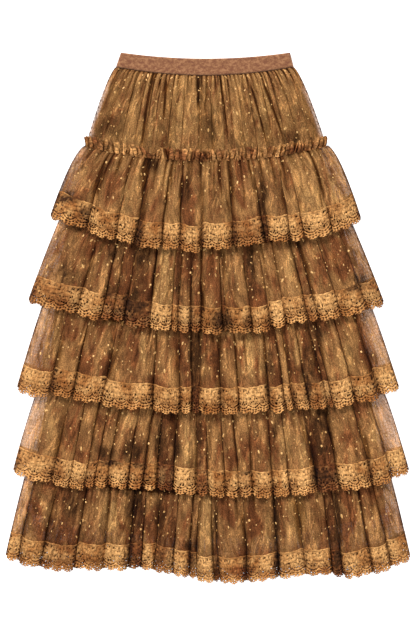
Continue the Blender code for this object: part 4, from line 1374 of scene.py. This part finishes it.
def lining_finish(name, colours, sizes):
    """Dyed polyester lining, plainly woven: opaque and soft in its shine, with the dye
    clouds of the net over it. The weave is drawn coarser than the real one."""
    finish, add = new_finish(name)
    place = add("TexCoord")["Object"]
    clouds = {"Vector": place, "Scale": 1.0 / sizes.dye_cloud, "Detail": 5.0, "Roughness": 0.62}
    stops = (0.35, colours.lining_dark), (0.65, colours.lining)
    thread = add("Attribute", attribute_name="thread")["Vector"]
    weave = {"Vector": thread, "Scale": 1.0 / 1.2, "Detail": 2.0}
    bump = {"Height": add("TexNoise", weave)[0], "Strength": 0.3, "Distance": 0.0003}
    shader = add("BsdfPrincipled", {
        "Base Color": add("ValToRGB", (add("TexNoise", clouds)[0],), stops)[0],
        "Normal": add("Bump", bump)[0],
        "Roughness": 0.6,
        "Specular IOR Level": 0.35,
    })
    add("OutputMaterial", {"Surface": shader["BSDF"]})
    return finish


def foil_finish(name, colours):
    """Gold foil dots, hot pressed onto the net: thin metal leaf, a little dulled, that
    catches the light as points."""
    finish, add = new_finish(name)
    worn = {"Vector": add("TexCoord")["Object"], "Scale": 90.0, "Detail": 2.0}
    stops = (0.38, colours.foil_worn), (0.60, colours.foil)
    ground = add("ValToRGB", (add("TexNoise", worn)[0],), stops)[0]
    shader = add("BsdfPrincipled", {"Base Color": ground, "Metallic": 0.15, "Roughness": 0.45})
    add("OutputMaterial", {"Surface": shader["BSDF"]})
    return finish


def paper_finish(name, colours):
    """Matt white background paper: even, with a faint fine tooth."""
    finish, add = new_finish(name)
    tooth = {"Vector": add("TexCoord")["Object"], "Scale": 900.0, "Detail": 2.0}
    stops = (0.3, colours.paper_tooth), (0.7, colours.paper)
    shader = add("BsdfPrincipled", {
        "Base Color": add("ValToRGB", (add("TexNoise", tooth)[0],), stops)[0],
        "Roughness": 0.9,
        "Specular IOR Level": 0.1,
        "Emission Color": (1.0, 1.0, 1.0, 1.0),
        "Emission Strength": PAPER_GLOW,
    })
    add("OutputMaterial", {"Surface": shader["BSDF"]})
    return finish


def dye_at(x, y, blots):
    """How deep each dye lies at these points, dark, rust and gold."""
    depth = np.zeros((3, *np.shape(x)))
    for blot in blots:
        off = ((x - blot.x) / blot.across) ** 2 + ((y - blot.y) / blot.down) ** 2
        soaked = blot.depth * np.exp(-0.9 * off**1.5)
        depth[blot.dye] = np.maximum(depth[blot.dye], soaked)
    return np.moveaxis(depth, 0, -1)


def dyed(cloth, blots, evenly=0.0, side="front"):
    """The cloth with its dyes, dark, rust and gold, laid at every point. The back's blots
    lie as if the skirt was turned over."""
    laid = cloth.dye + evenly
    if side == "back":
        blots = [blot._replace(x=-blot.x) for blot in blots]
    depth = dye_at(cloth.x, cloth.y, blots)
    for dye, most in EVEN_DYE:
        even = abs(most) * np.clip(np.sign(most) * laid, 0.0, 1.0)
        depth[..., dye] = np.maximum(depth[..., dye], even)
    return cloth._replace(dye=depth)


def cloth_attributes(cloth, raised=0.0, below=0.0):
    """What the finishes read at each point of a dyed piece of cloth."""
    shape = cloth.x.shape
    parts = (cloth.shine, cloth.cover, raised, cloth.across, cloth.along, below)
    columns = [np.broadcast_to(part, shape).ravel() for part in parts]
    look, thread = np.stack(columns[:3], axis=1), np.stack(columns[3:], axis=1)
    return {"look": look, "thread": thread, "dye": cloth.dye.reshape(-1, 3)}


def grid_faces(rows, columns, up):
    """Quads over a grid of points, facing up or down."""
    numbers = np.arange(rows * columns).reshape(rows, columns)
    corners = (numbers[:-1, :-1], numbers[1:, :-1], numbers[1:, 1:], numbers[:-1, 1:])
    faces = np.stack([corner.ravel() for corner in corners], axis=1)
    return (faces if up else faces[:, ::-1]).tolist()


def cut_out(solid, up):
    """The part of a grid where solid is above 0: its points' rows and columns, as
    shares between grid lines where the edge runs, and its faces."""
    inside = solid > 0.0
    numbers = np.full(solid.shape, -1)
    numbers[inside] = np.arange(inside.sum())
    rows, columns = np.nonzero(inside)
    places = [np.stack([rows, columns], axis=1).astype(float)]
    count = len(rows)
    edges = []
    for down, across in ((0, 1), (1, 0)):
        height, width = inside.shape[0] - down, inside.shape[1] - across
        flips = inside[:height, :width] != inside[down:, across:]
        edges.append(np.full(flips.shape, -1))
        edges[-1][flips] = count + np.arange(flips.sum())
        rows, columns = np.nonzero(flips)
        near, far = solid[rows, columns], solid[rows + down, columns + across]
        share = np.clip(near / (near - far), CUT_NEAREST, 1.0 - CUT_NEAREST)
        places.append(np.stack([rows + down * share, columns + across * share], axis=1))
        count += len(rows)

    level, upright = edges
    ring = [
        numbers[:-1, :-1], level[:-1], numbers[:-1, 1:], upright[:, 1:],
        numbers[1:, 1:], level[1:], numbers[1:, :-1], upright[:, :-1],
    ]
    ring = np.stack(ring[::-1] if up else ring, axis=-1).reshape(-1, 8)
    there = ring >= 0
    sides = there.sum(axis=1)
    faces = []
    for corners in range(3, 7):
        chosen = sides == corners
        faces += ring[chosen][there[chosen]].reshape(-1, corners).tolist()
    return np.concatenate(places), faces


def at_places(values, places):
    """A grid's values at places between its points."""
    rows, columns = values.shape
    top, left = places.astype(int).T
    low, right = np.minimum(top + 1, rows - 1), np.minimum(left + 1, columns - 1)
    down, across = (places - np.floor(places)).T
    upper = values[top, left] * (1.0 - across) + values[top, right] * across
    lower = values[low, left] * (1.0 - across) + values[low, right] * across
    return upper * (1.0 - down) + lower * down


def add_piece(name, points, faces, finish, attributes=None):
    """A mesh of these points, in millimetres, that rides with the skirt."""
    mesh = bpy.data.meshes.new(name)
    mesh.from_pydata((np.asarray(points) * MM).tolist(), [], faces)
    for label, values in (attributes or {}).items():
        layer = mesh.attributes.new(label, "FLOAT_VECTOR", "POINT")
        layer.data.foreach_set("vector", np.asarray(values, np.float32).ravel())
    mesh.materials.append(finish)
    mesh.shade_smooth()
    piece = bpy.data.objects.new(name, mesh)
    bpy.context.scene.collection.objects.link(piece)
    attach(piece, BODY)
    return piece


def add_cloth(name, cloth, finish, side):
    """A grid of cloth, rows down it by columns across it."""
    points = np.stack([cloth.x.ravel(), cloth.y.ravel(), cloth.z.ravel()], axis=1)
    faces = grid_faces(*cloth.x.shape, side == "front")
    return add_piece(name, points, faces, finish, cloth_attributes(cloth))


def add_lace(name, cloth, hem, down, opened, finish, side):
    """Lace on this cloth, with its holes cut out and its embroidery raised."""
    solid, raised = lace_cloth(hem.scallop, down, opened)
    solid, raised, down = np.broadcast_arrays(solid, raised, down, cloth.x)[:3]
    places, faces = cut_out(solid, side == "front")
    z = cloth.z + LACE_LIFT[side] * (LACE_OVER_NET + LACE_RELIEF * raised)
    # The net's painted light and shade, softened on the lace, with painted shade round the holes'
    # rims and a painted highlight along the top cord
    shine = 0.08 + cloth.shine * np.where(cloth.shine < 0.0, 0.68, 0.9)
    shine = shine - 0.85 * ridge(np.maximum(solid, 0.0), 0.4)
    shine = shine + 0.45 * ridge(down - 1.9, 0.9)
    grid = cloth._replace(z=np.maximum(z, LOWEST), shine=shine)._asdict()
    dye = [at_places(layer, places) for layer in np.moveaxis(grid.pop("dye"), -1, 0)]
    grid = {label: at_places(values, places) for label, values in grid.items()}
    cut = Cloth(dye=np.stack(dye, axis=-1), **grid)
    points = np.stack([cut.x, cut.y, cut.z], axis=1)
    raised, down = at_places(raised, places), at_places(down, places)
    return add_piece(name, points, faces, finish, cloth_attributes(cut, raised, down))


def add_band(name, side, finish):
    """Half of the waistband: flat where the halves meet, and rounded over its edges."""
    up, low_z, seed = side == "front", BAND_LOW_Z[side], BAND_SEEDS[side]
    high = np.linspace(0.0, 1.0, BAND_ROWS)[::-1, None]
    share = np.linspace(0.0, 1.0, BAND_COLUMNS)
    low_x = spread(0.0, 1.0, WAIST_SEAM.left, WAIST_SEAM.right, share)
    high_x = spread(0.0, 1.0, WAIST_TOP.left, WAIST_TOP.right, share)
    low_y, high_y = arc_y(WAIST_SEAM, low_x), arc_y(WAIST_TOP, high_x)
    x = low_x + (high_x - low_x) * high
    y = low_y + (high_y - low_y) * high
    edge, end = [
        np.sqrt(1.0 - (1.0 - np.clip(np.minimum(at, 1.0 - at) / rounded, 0.0, 1.0)) ** 2)
        for at, rounded in zip((high, share), BAND_ROUNDED)
    ]
    puckers = 1.0 + 0.035 * wander(x, 19.0, seed) + 0.03 * wander(x + 2.0 * y, 44.0, seed + 1)
    rounded = (0.4 + 0.6 * end) * (0.55 + 0.45 * edge) * puckers
    thick = BAND_WALL * np.minimum(rounded, 1.03 if up else 1.0)
    flat = np.full(x.shape, low_z if up else low_z + BAND_WALL)
    outer = low_z + thick if up else flat - thick
    points = [np.stack([x, y, z], axis=-1).reshape(-1, 3) for z in (outer, flat)]
    count = x.size
    faces = grid_faces(*x.shape, up)
    faces += (np.array(grid_faces(*x.shape, not up)) + count).tolist()
    numbers = np.arange(count).reshape(x.shape)
    rim = [numbers[0], numbers[1:, -1], numbers[-1, -2::-1], numbers[-2:0:-1, 0]]
    rim = np.concatenate(rim).tolist()
    for here, after in zip(rim, rim[1:] + rim[:1]):
        quad = [here, after, count + after, count + here]
        faces.append(quad if up else quad[::-1])
    return add_piece(name, np.concatenate(points), faces, finish)


def strewn_spots(width, length, spacing, seed):
    """Spots in uneven staggered rows over a piece of cloth, and what drew them."""
    rng = np.random.default_rng(seed)
    columns, rows = int(width / spacing), max(1, int(length / spacing))
    across, down = np.meshgrid(np.arange(columns) + 0.5, np.arange(rows) + 0.5)
    across = across + 0.5 * (np.floor(down) % 2) - 0.25
    across = across.ravel() + rng.uniform(-DOT_STRAYS, DOT_STRAYS, across.size)
    down = down.ravel() + rng.uniform(-DOT_STRAYS, DOT_STRAYS, down.size)
    kept = rng.uniform(size=across.size) < DOTS_KEPT
    inside = kept & (down > 0.1) & (down < rows - 0.05) & (across > 0.2)
    inside &= across < columns - 0.2
    return across[inside] * spacing, down[inside] * spacing, rng


def add_dots(name, build, hem, length, undotted, sizes, finish, seed, side):
    """Foil dots, fine ones all over and fewer large ones, pressed onto the cloth that is
    built over this hem and length, some of them, at random, drawn out lengthwise."""
    width, across, down, radii = hem.length[-1], [], [], []
    for step, (size, apart) in enumerate(DOT_KINDS):
        spacing = sizes.dot_spacing / MM * apart
        x, y, rng = strewn_spots(width, length - undotted, spacing, seed + step)
        across.append(x)
        down.append(y)
        radii.append(sizes.dot_radius / MM * size * rng.uniform(*DOT_UNEVEN, len(x)))
    across, down, radii = map(np.concatenate, (across, down, radii))
    rng = np.random.default_rng(seed + 2)
    drawn = np.where(rng.uniform(size=len(across)) < DOTS_DRAWN, *DOT_LENGTHS)
    turned = rng.normal(0.0, DOT_TURN, len(across))[:, None]
    near = ((0.0, 0.0), (DOT_NEAR, 0.0), (0.0, DOT_NEAR))
    cloths = [build(hem_at(hem, across + x), (down + y) / length) for x, y in near]
    middle, beside, below = [np.stack([c.x, c.y, c.z], axis=1) for c in cloths]
    first = beside - middle
    first /= np.maximum(np.linalg.norm(first, axis=1), 1e-6)[:, None]
    normal = np.cross(below - middle, first)
    normal /= np.maximum(np.linalg.norm(normal, axis=1), 1e-6)[:, None]
    second = np.cross(first, normal)
    outward = 1.0 if side == "front" else -1.0
    normal *= np.where(normal[:, 2:] * outward < 0.0, -1.0, 1.0)

    corners = np.arange(DOT_CORNERS)
    angles = 2.0 * np.pi * corners / DOT_CORNERS
    x, y = np.outer(DOT_WIDTH * radii, np.cos(angles)), np.outer(radii * drawn, np.sin(angles))
    along = x * np.cos(turned) - y * np.sin(turned)
    over = x * np.sin(turned) + y * np.cos(turned)
    first, second, normal = first[:, None], second[:, None], normal[:, None]
    rim = along[..., None] * first + over[..., None] * second - DOT_RIM * normal
    points = np.concatenate([DOT_DOME * normal, rim], axis=1)
    points = (middle[:, None] + DOT_OVER * normal + points).reshape(-1, 3)
    points[:, 2] = np.maximum(points[:, 2], DOT_LOWEST)
    fan = np.stack([0 * corners, 1 + corners, 1 + (corners + 1) % DOT_CORNERS], axis=1)
    starts = (1 + DOT_CORNERS) * np.arange(len(across))[:, None, None]
    return add_piece(name, points, (starts + fan).reshape(-1, 3).tolist(), finish)


def colour_setting(name, description, colour):
    """A colour that a user may change, from its sRGB hex value."""
    return bpy.props.FloatVectorProperty(
        name=name,
        description=description,
        default=linear(colour)[:3],
        min=0.0,
        max=1.0,
        size=3,
        subtype="COLOR",
    )


def length_setting(name, description, length, least, most):
    return bpy.props.FloatProperty(
        name=name,
        description=description,
        default=length,
        min=least,
        max=most,
        precision=4,
        subtype="DISTANCE",
        unit="LENGTH",
    )


class SkirtSizes(bpy.types.PropertyGroup):
    """Sizes of what the cloth shows"""

    net_cell: length_setting("Net Cell", "Width of a drawn cell of the net", 0.0044, 0.001, 0.01)
    dye_cloud: length_setting("Dye Cloud", "Width of a cloud of dye", 0.034, 0.005, 0.2)
    dot_radius: length_setting("Dot Radius", "Radius of a foil dot", 0.0014, 0.0005, 0.004)
    dot_spacing: length_setting("Dot Spacing", "From one fine dot to the next", 0.022, 0.01, 0.2)
    lace_opening: bpy.props.FloatProperty(
        name="Lace Opening",
        description="Size of the lace's holes, as a share of their usual size",
        default=1.0,
        min=0.0,
        max=1.2,
        subtype="FACTOR",
    )


class SkirtColours(bpy.types.PropertyGroup):
    """Colours of the cloth, its dyes and the paper under it"""

    net_deep: colour_setting("Net Deep", "Net where the brown dye is deepest", "#482813")
    net_brown: colour_setting("Net Brown", "Net in its main brown", "#6c4023")
    net_olive: colour_setting("Net Olive", "Net where brown runs into gold", "#7f5833")
    net_tan: colour_setting("Net Tan", "Net where the dye is palest", "#aa7a49")
    net_sheer: colour_setting("Net Sheer", "Net where light comes through it", "#c8925e")
    net_dark: colour_setting("Net Dark Dye", "Darkest dye on the net", "#3c2410")
    net_rust: colour_setting("Net Rust Dye", "Rust dye on the net", "#5f321a")
    net_gold: colour_setting("Net Gold Dye", "Gold dye on the net", "#9b7345")
    lace_deep: colour_setting("Lace Deep", "Lace where it took most dye", "#8a5529")
    lace_brown: colour_setting("Lace Brown", "Lace in its main colour", "#a87340")
    lace_tan: colour_setting("Lace Tan", "Lace where it is palest", "#c6935a")
    lace_dark: colour_setting("Lace Dark Dye", "Darkest dye on the lace", "#432712")
    lace_rust: colour_setting("Lace Rust Dye", "Rust dye on the lace", "#7b3c1c")
    lace_gold: colour_setting("Lace Gold Dye", "Gold dye on the lace", "#d4a064")
    suede_dark: colour_setting("Suede Dark", "Waistband nap, stroked dark", "#83523a")
    suede: colour_setting("Suede", "Waistband", "#966544")
    suede_light: colour_setting("Suede Light", "Waistband nap, stroked light", "#b07c57")
    lining: colour_setting("Lining", "Underskirt", "#75502f")
    lining_dark: colour_setting("Lining Dark", "Underskirt where the dye is deep", "#553519")
    foil: colour_setting("Foil", "Gold foil dots", "#f2bd74")
    foil_worn: colour_setting("Foil Worn", "Foil where it has worn", "#c8904c")
    paper: colour_setting("Paper", "Background paper", "#fbfbfa")
    paper_tooth: colour_setting("Paper Tooth", "Hollows of the paper's tooth", "#f6f5f4")


def settings(context):
    return context.scene.skirt_sizes, context.scene.skirt_colours


def look_at(thing, target):
    """Turns a light or camera so that it points at a target."""
    away = Vector(target) - thing.location
    thing.rotation_euler = away.to_track_quat("-Z", "Y").to_euler()


class SKIRT_OT_stage(bpy.types.Operator):
    """Lays the pale paper under the skirt and sets the soft light and the camera"""

    bl_idname = "skirt.stage"
    bl_label = "Paper, Light and Camera"

    def execute(self, context):
        scene = context.scene
        _, colours = settings(context)
        corners = [(PAPER_HALF * x, PAPER_HALF * y, 0.0) for x, y in PAPER_CORNERS]
        mesh = bpy.data.meshes.new("paper")
        mesh.from_pydata(corners, [], [(0, 1, 2, 3)])
        mesh.materials.append(paper_finish("paper_matt_white", colours))
        paper = bpy.data.objects.new("paper", mesh)
        paper.location.z = -PAPER_BELOW
        scene.collection.objects.link(paper)

        world = bpy.data.worlds.new("soft_studio")
        world.use_nodes = True
        background = world.node_tree.nodes["Background"]
        background.inputs["Color"].default_value = (1.0, 1.0, 1.0, 1.0)
        background.inputs["Strength"].default_value = WORLD_LIGHT
        scene.world = world
        scene.view_settings.view_transform = "Standard"
        sun = bpy.data.objects.new("key_light", bpy.data.lights.new("key_light", "SUN"))
        sun.data.energy = KEY_LIGHT
        sun.data.angle = KEY_ANGLE
        sun.location = KEY_PLACE
        look_at(sun, (0.0, 0.0, 0.0))
        scene.collection.objects.link(sun)

        camera = bpy.data.objects.new("camera", bpy.data.cameras.new("camera"))
        camera.data.sensor_width = SENSOR_MM
        camera.data.sensor_fit = "VERTICAL"
        camera.data.sensor_height = SENSOR_MM
        camera.data.lens = SENSOR_MM * CAMERA_HEIGHT / PICTURE_LENGTH
        camera.location = (0.0, PICTURE_MIDDLE_Y, CAMERA_HEIGHT)
        scene.collection.objects.link(camera)
        scene.camera = camera
        return {"FINISHED"}


class SKIRT_OT_waistband(bpy.types.Operator):
    """Builds the front and back halves of the elastic waistband"""

    bl_idname = "skirt.waistband"
    bl_label = "Waistband"

    def execute(self, context):
        _, colours = settings(context)
        suede = suede_finish("faux_suede_brushed", colours)
        for side in ("back", "front"):
            band = add_band(f"band_{side}", side, suede)
            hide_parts(f"waistband_{side}")
        return {"FINISHED"}


class SKIRT_OT_underskirt(bpy.types.Operator):
    """Builds the plain underskirt inside the ruffles"""

    bl_idname = "skirt.underskirt"
    bl_label = "Underskirt"

    def execute(self, context):
        sizes, colours = settings(context)
        lining = lining_finish("lining_dyed_woven", colours, sizes)
        for side in ("back", "front"):
            cloth = dyed(underskirt_cloth(UNDERSKIRT_Z[side], UNDERSKIRT_SEED), ())
            panel = add_cloth(f"lining_{side}", cloth, lining, side)
            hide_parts(f"underskirt_{side}")
        return {"FINISHED"}


class SKIRT_OT_yoke(bpy.types.Operator):
    """Builds the yoke of gathered net, front and back"""

    bl_idname = "skirt.yoke"
    bl_label = "Yoke"

    def execute(self, context):
        sizes, colours = settings(context)
        net = net_finish("bobbinet_gathered_yoke", colours, sizes)
        down = np.linspace(0.0, 1.0, YOKE_ROWS)[:, None]
        for side in ("front", "back"):
            hem = yoke_hem(side)
            cloth = yoke_cloth(side, hem_at(hem, spots_along(hem, YOKE_COLUMN[side])), down)
            cloth = dyed(cloth, YOKE_BLOTS, YOKE_LIGHTER, side)
            add_cloth(f"yoke_net_{side}", cloth, net, side)
        for side, resting, width in (("back", "paper", 0.45), ("front", "lining_front", 0.53)):
            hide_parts(f"yoke_{side}")
        return {"FINISHED"}


class SKIRT_OT_heading(bpy.types.Operator):
    """Builds the narrow gathered heading over the first ruffle's seam"""

    bl_idname = "skirt.heading"
    bl_label = "Heading"

    def execute(self, context):
        sizes, colours = settings(context)
        net = net_finish("bobbinet_doubled_frill", colours, sizes, True, HEADING_LOOP)
        front = dyed(heading_cloth(HEADING_SEEDS["front"]), HEADING_BLOTS, HEADING_LIGHTER)
        back = dyed(heading_back_cloth(HEADING_SEEDS["back"]), (), HEADING_LIGHTER)
        for side, cloth, width, resting in (
            ("front", front, 0.80, "yoke_net_front"),
            ("back", back, 0.45, "paper"),
        ):
            frill = add_cloth(f"frill_{side}", cloth, net, side)
            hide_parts(f"heading_{side}")
        return {"FINISHED"}


class SKIRT_OT_ruffles(bpy.types.Operator):
    """Builds the five ruffles of net, front and back, down to their lace"""

    bl_idname = "skirt.ruffles"
    bl_label = "Net Ruffles"

    def execute(self, context):
        sizes, colours = settings(context)
        net = net_finish("bobbinet_tie_dyed", colours, sizes)
        for index, side in TIER_SIDES:
            hem = tier_hem(index, side)
            full = hem_at(hem, spots_along(hem, NET_COLUMN[side]))
            cloth = tier_cloth(index, side, full, net_shares(index, full))
            cloth = dyed(cloth, NET_BLOTS[index], RUFFLES_LIGHTER[index], side)
            ruffle = add_cloth(f"net_{index + 1}_{side}", cloth, net, side)
            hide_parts(f"ruffle_{index + 1}_{side}")
        return {"FINISHED"}


class SKIRT_OT_lace(bpy.types.Operator):
    """Builds the scalloped guipure lace along the hem of each ruffle"""

    bl_idname = "skirt.lace"
    bl_label = "Lace Hems"

    def execute(self, context):
        sizes, colours = settings(context)
        guipure = lace_finish("guipure_cotton_dyed", colours)
        for index, side in TIER_SIDES:
            hem = tier_hem(index, side)
            length, scallops = hem.length[-1], round(hem.scallop[-1])
            spots = np.linspace(0.0, scallops, scallops * LACE_COLUMNS[side] + 1)
            full = hem_at(hem, spots, "scallop")
            down, shares = lace_shares(index, full, LACE_ROW[side])
            cloth = tier_cloth(index, side, full, shares)
            cloth = dyed(cloth, LACE_BLOTS[index], LACE_LIGHTER[index], side)
            opened = sizes.lace_opening
            lace = add_lace(f"guipure_{index + 1}_{side}", cloth, full, down, opened, guipure, side)
            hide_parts(f"lace_{index + 1}_{side}")
        return {"FINISHED"}


class SKIRT_OT_dots(bpy.types.Operator):
    """Presses the gold foil dots onto the yoke and the ruffles"""

    bl_idname = "skirt.dots"
    bl_label = "Gold Dots"

    def execute(self, context):
        sizes, colours = settings(context)
        foil = foil_finish("foil_gold_pressed", colours)
        for index, side in TIER_SIDES:
            hem, name = tier_hem(index, side), f"dots_{index + 1}_{side}"
            _, seam_y, hem_y = ruffle_lines(index, hem_at(hem, 0.0))
            build = partial(tier_cloth, index, side)
            length, seed = seam_y - hem_y, DOT_SEEDS[index]
            add_dots(name, build, hem, length, LACE_DEPTH, sizes, foil, seed, side)
        length = WAIST_SEAM.mid_y - YOKE_SEAM.mid_y
        for side in ("front", "back"):
            hem, name, build = yoke_hem(side), f"dots_yoke_{side}", partial(yoke_cloth, side)
            add_dots(name, build, hem, length, YOKE_UNDOTTED, sizes, foil, YOKE_DOT_SEED, side)
        return {"FINISHED"}


CLASSES = (
    SkirtSizes,
    SkirtColours,
    SKIRT_OT_stage,
    SKIRT_OT_waistband,
    SKIRT_OT_underskirt,
    SKIRT_OT_yoke,
    SKIRT_OT_heading,
    SKIRT_OT_ruffles,
    SKIRT_OT_lace,
    SKIRT_OT_dots,
)


class VIEW3D_PT_skirt(bpy.types.Panel):
    """The skirt's pieces, sizes and colours"""

    bl_label = "Tiered Skirt"
    bl_space_type = "VIEW_3D"
    bl_region_type = "UI"
    bl_category = "Skirt"

    def draw(self, context):
        for operator in CLASSES[2:]:
            self.layout.operator(operator.bl_idname)
        for group in settings(context):
            box = self.layout.box()
            for label in group.__annotations__:
                box.prop(group, label)


def register():
    for kind in (*CLASSES, VIEW3D_PT_skirt):
        bpy.utils.register_class(kind)
    bpy.types.Scene.skirt_sizes = bpy.props.PointerProperty(type=SkirtSizes)
    bpy.types.Scene.skirt_colours = bpy.props.PointerProperty(type=SkirtColours)


def unregister():
    del bpy.types.Scene.skirt_colours
    del bpy.types.Scene.skirt_sizes
    for kind in reversed((*CLASSES, VIEW3D_PT_skirt)):
        bpy.utils.unregister_class(kind)


def main():
    register()
    bpy.ops.skirt.stage()
    bpy.ops.skirt.waistband()
    bpy.ops.skirt.underskirt()
    bpy.ops.skirt.yoke()
    bpy.ops.skirt.heading()
    bpy.ops.skirt.ruffles()
    bpy.ops.skirt.lace()
    bpy.ops.skirt.dots()


if __name__ == "__main__":
    main()
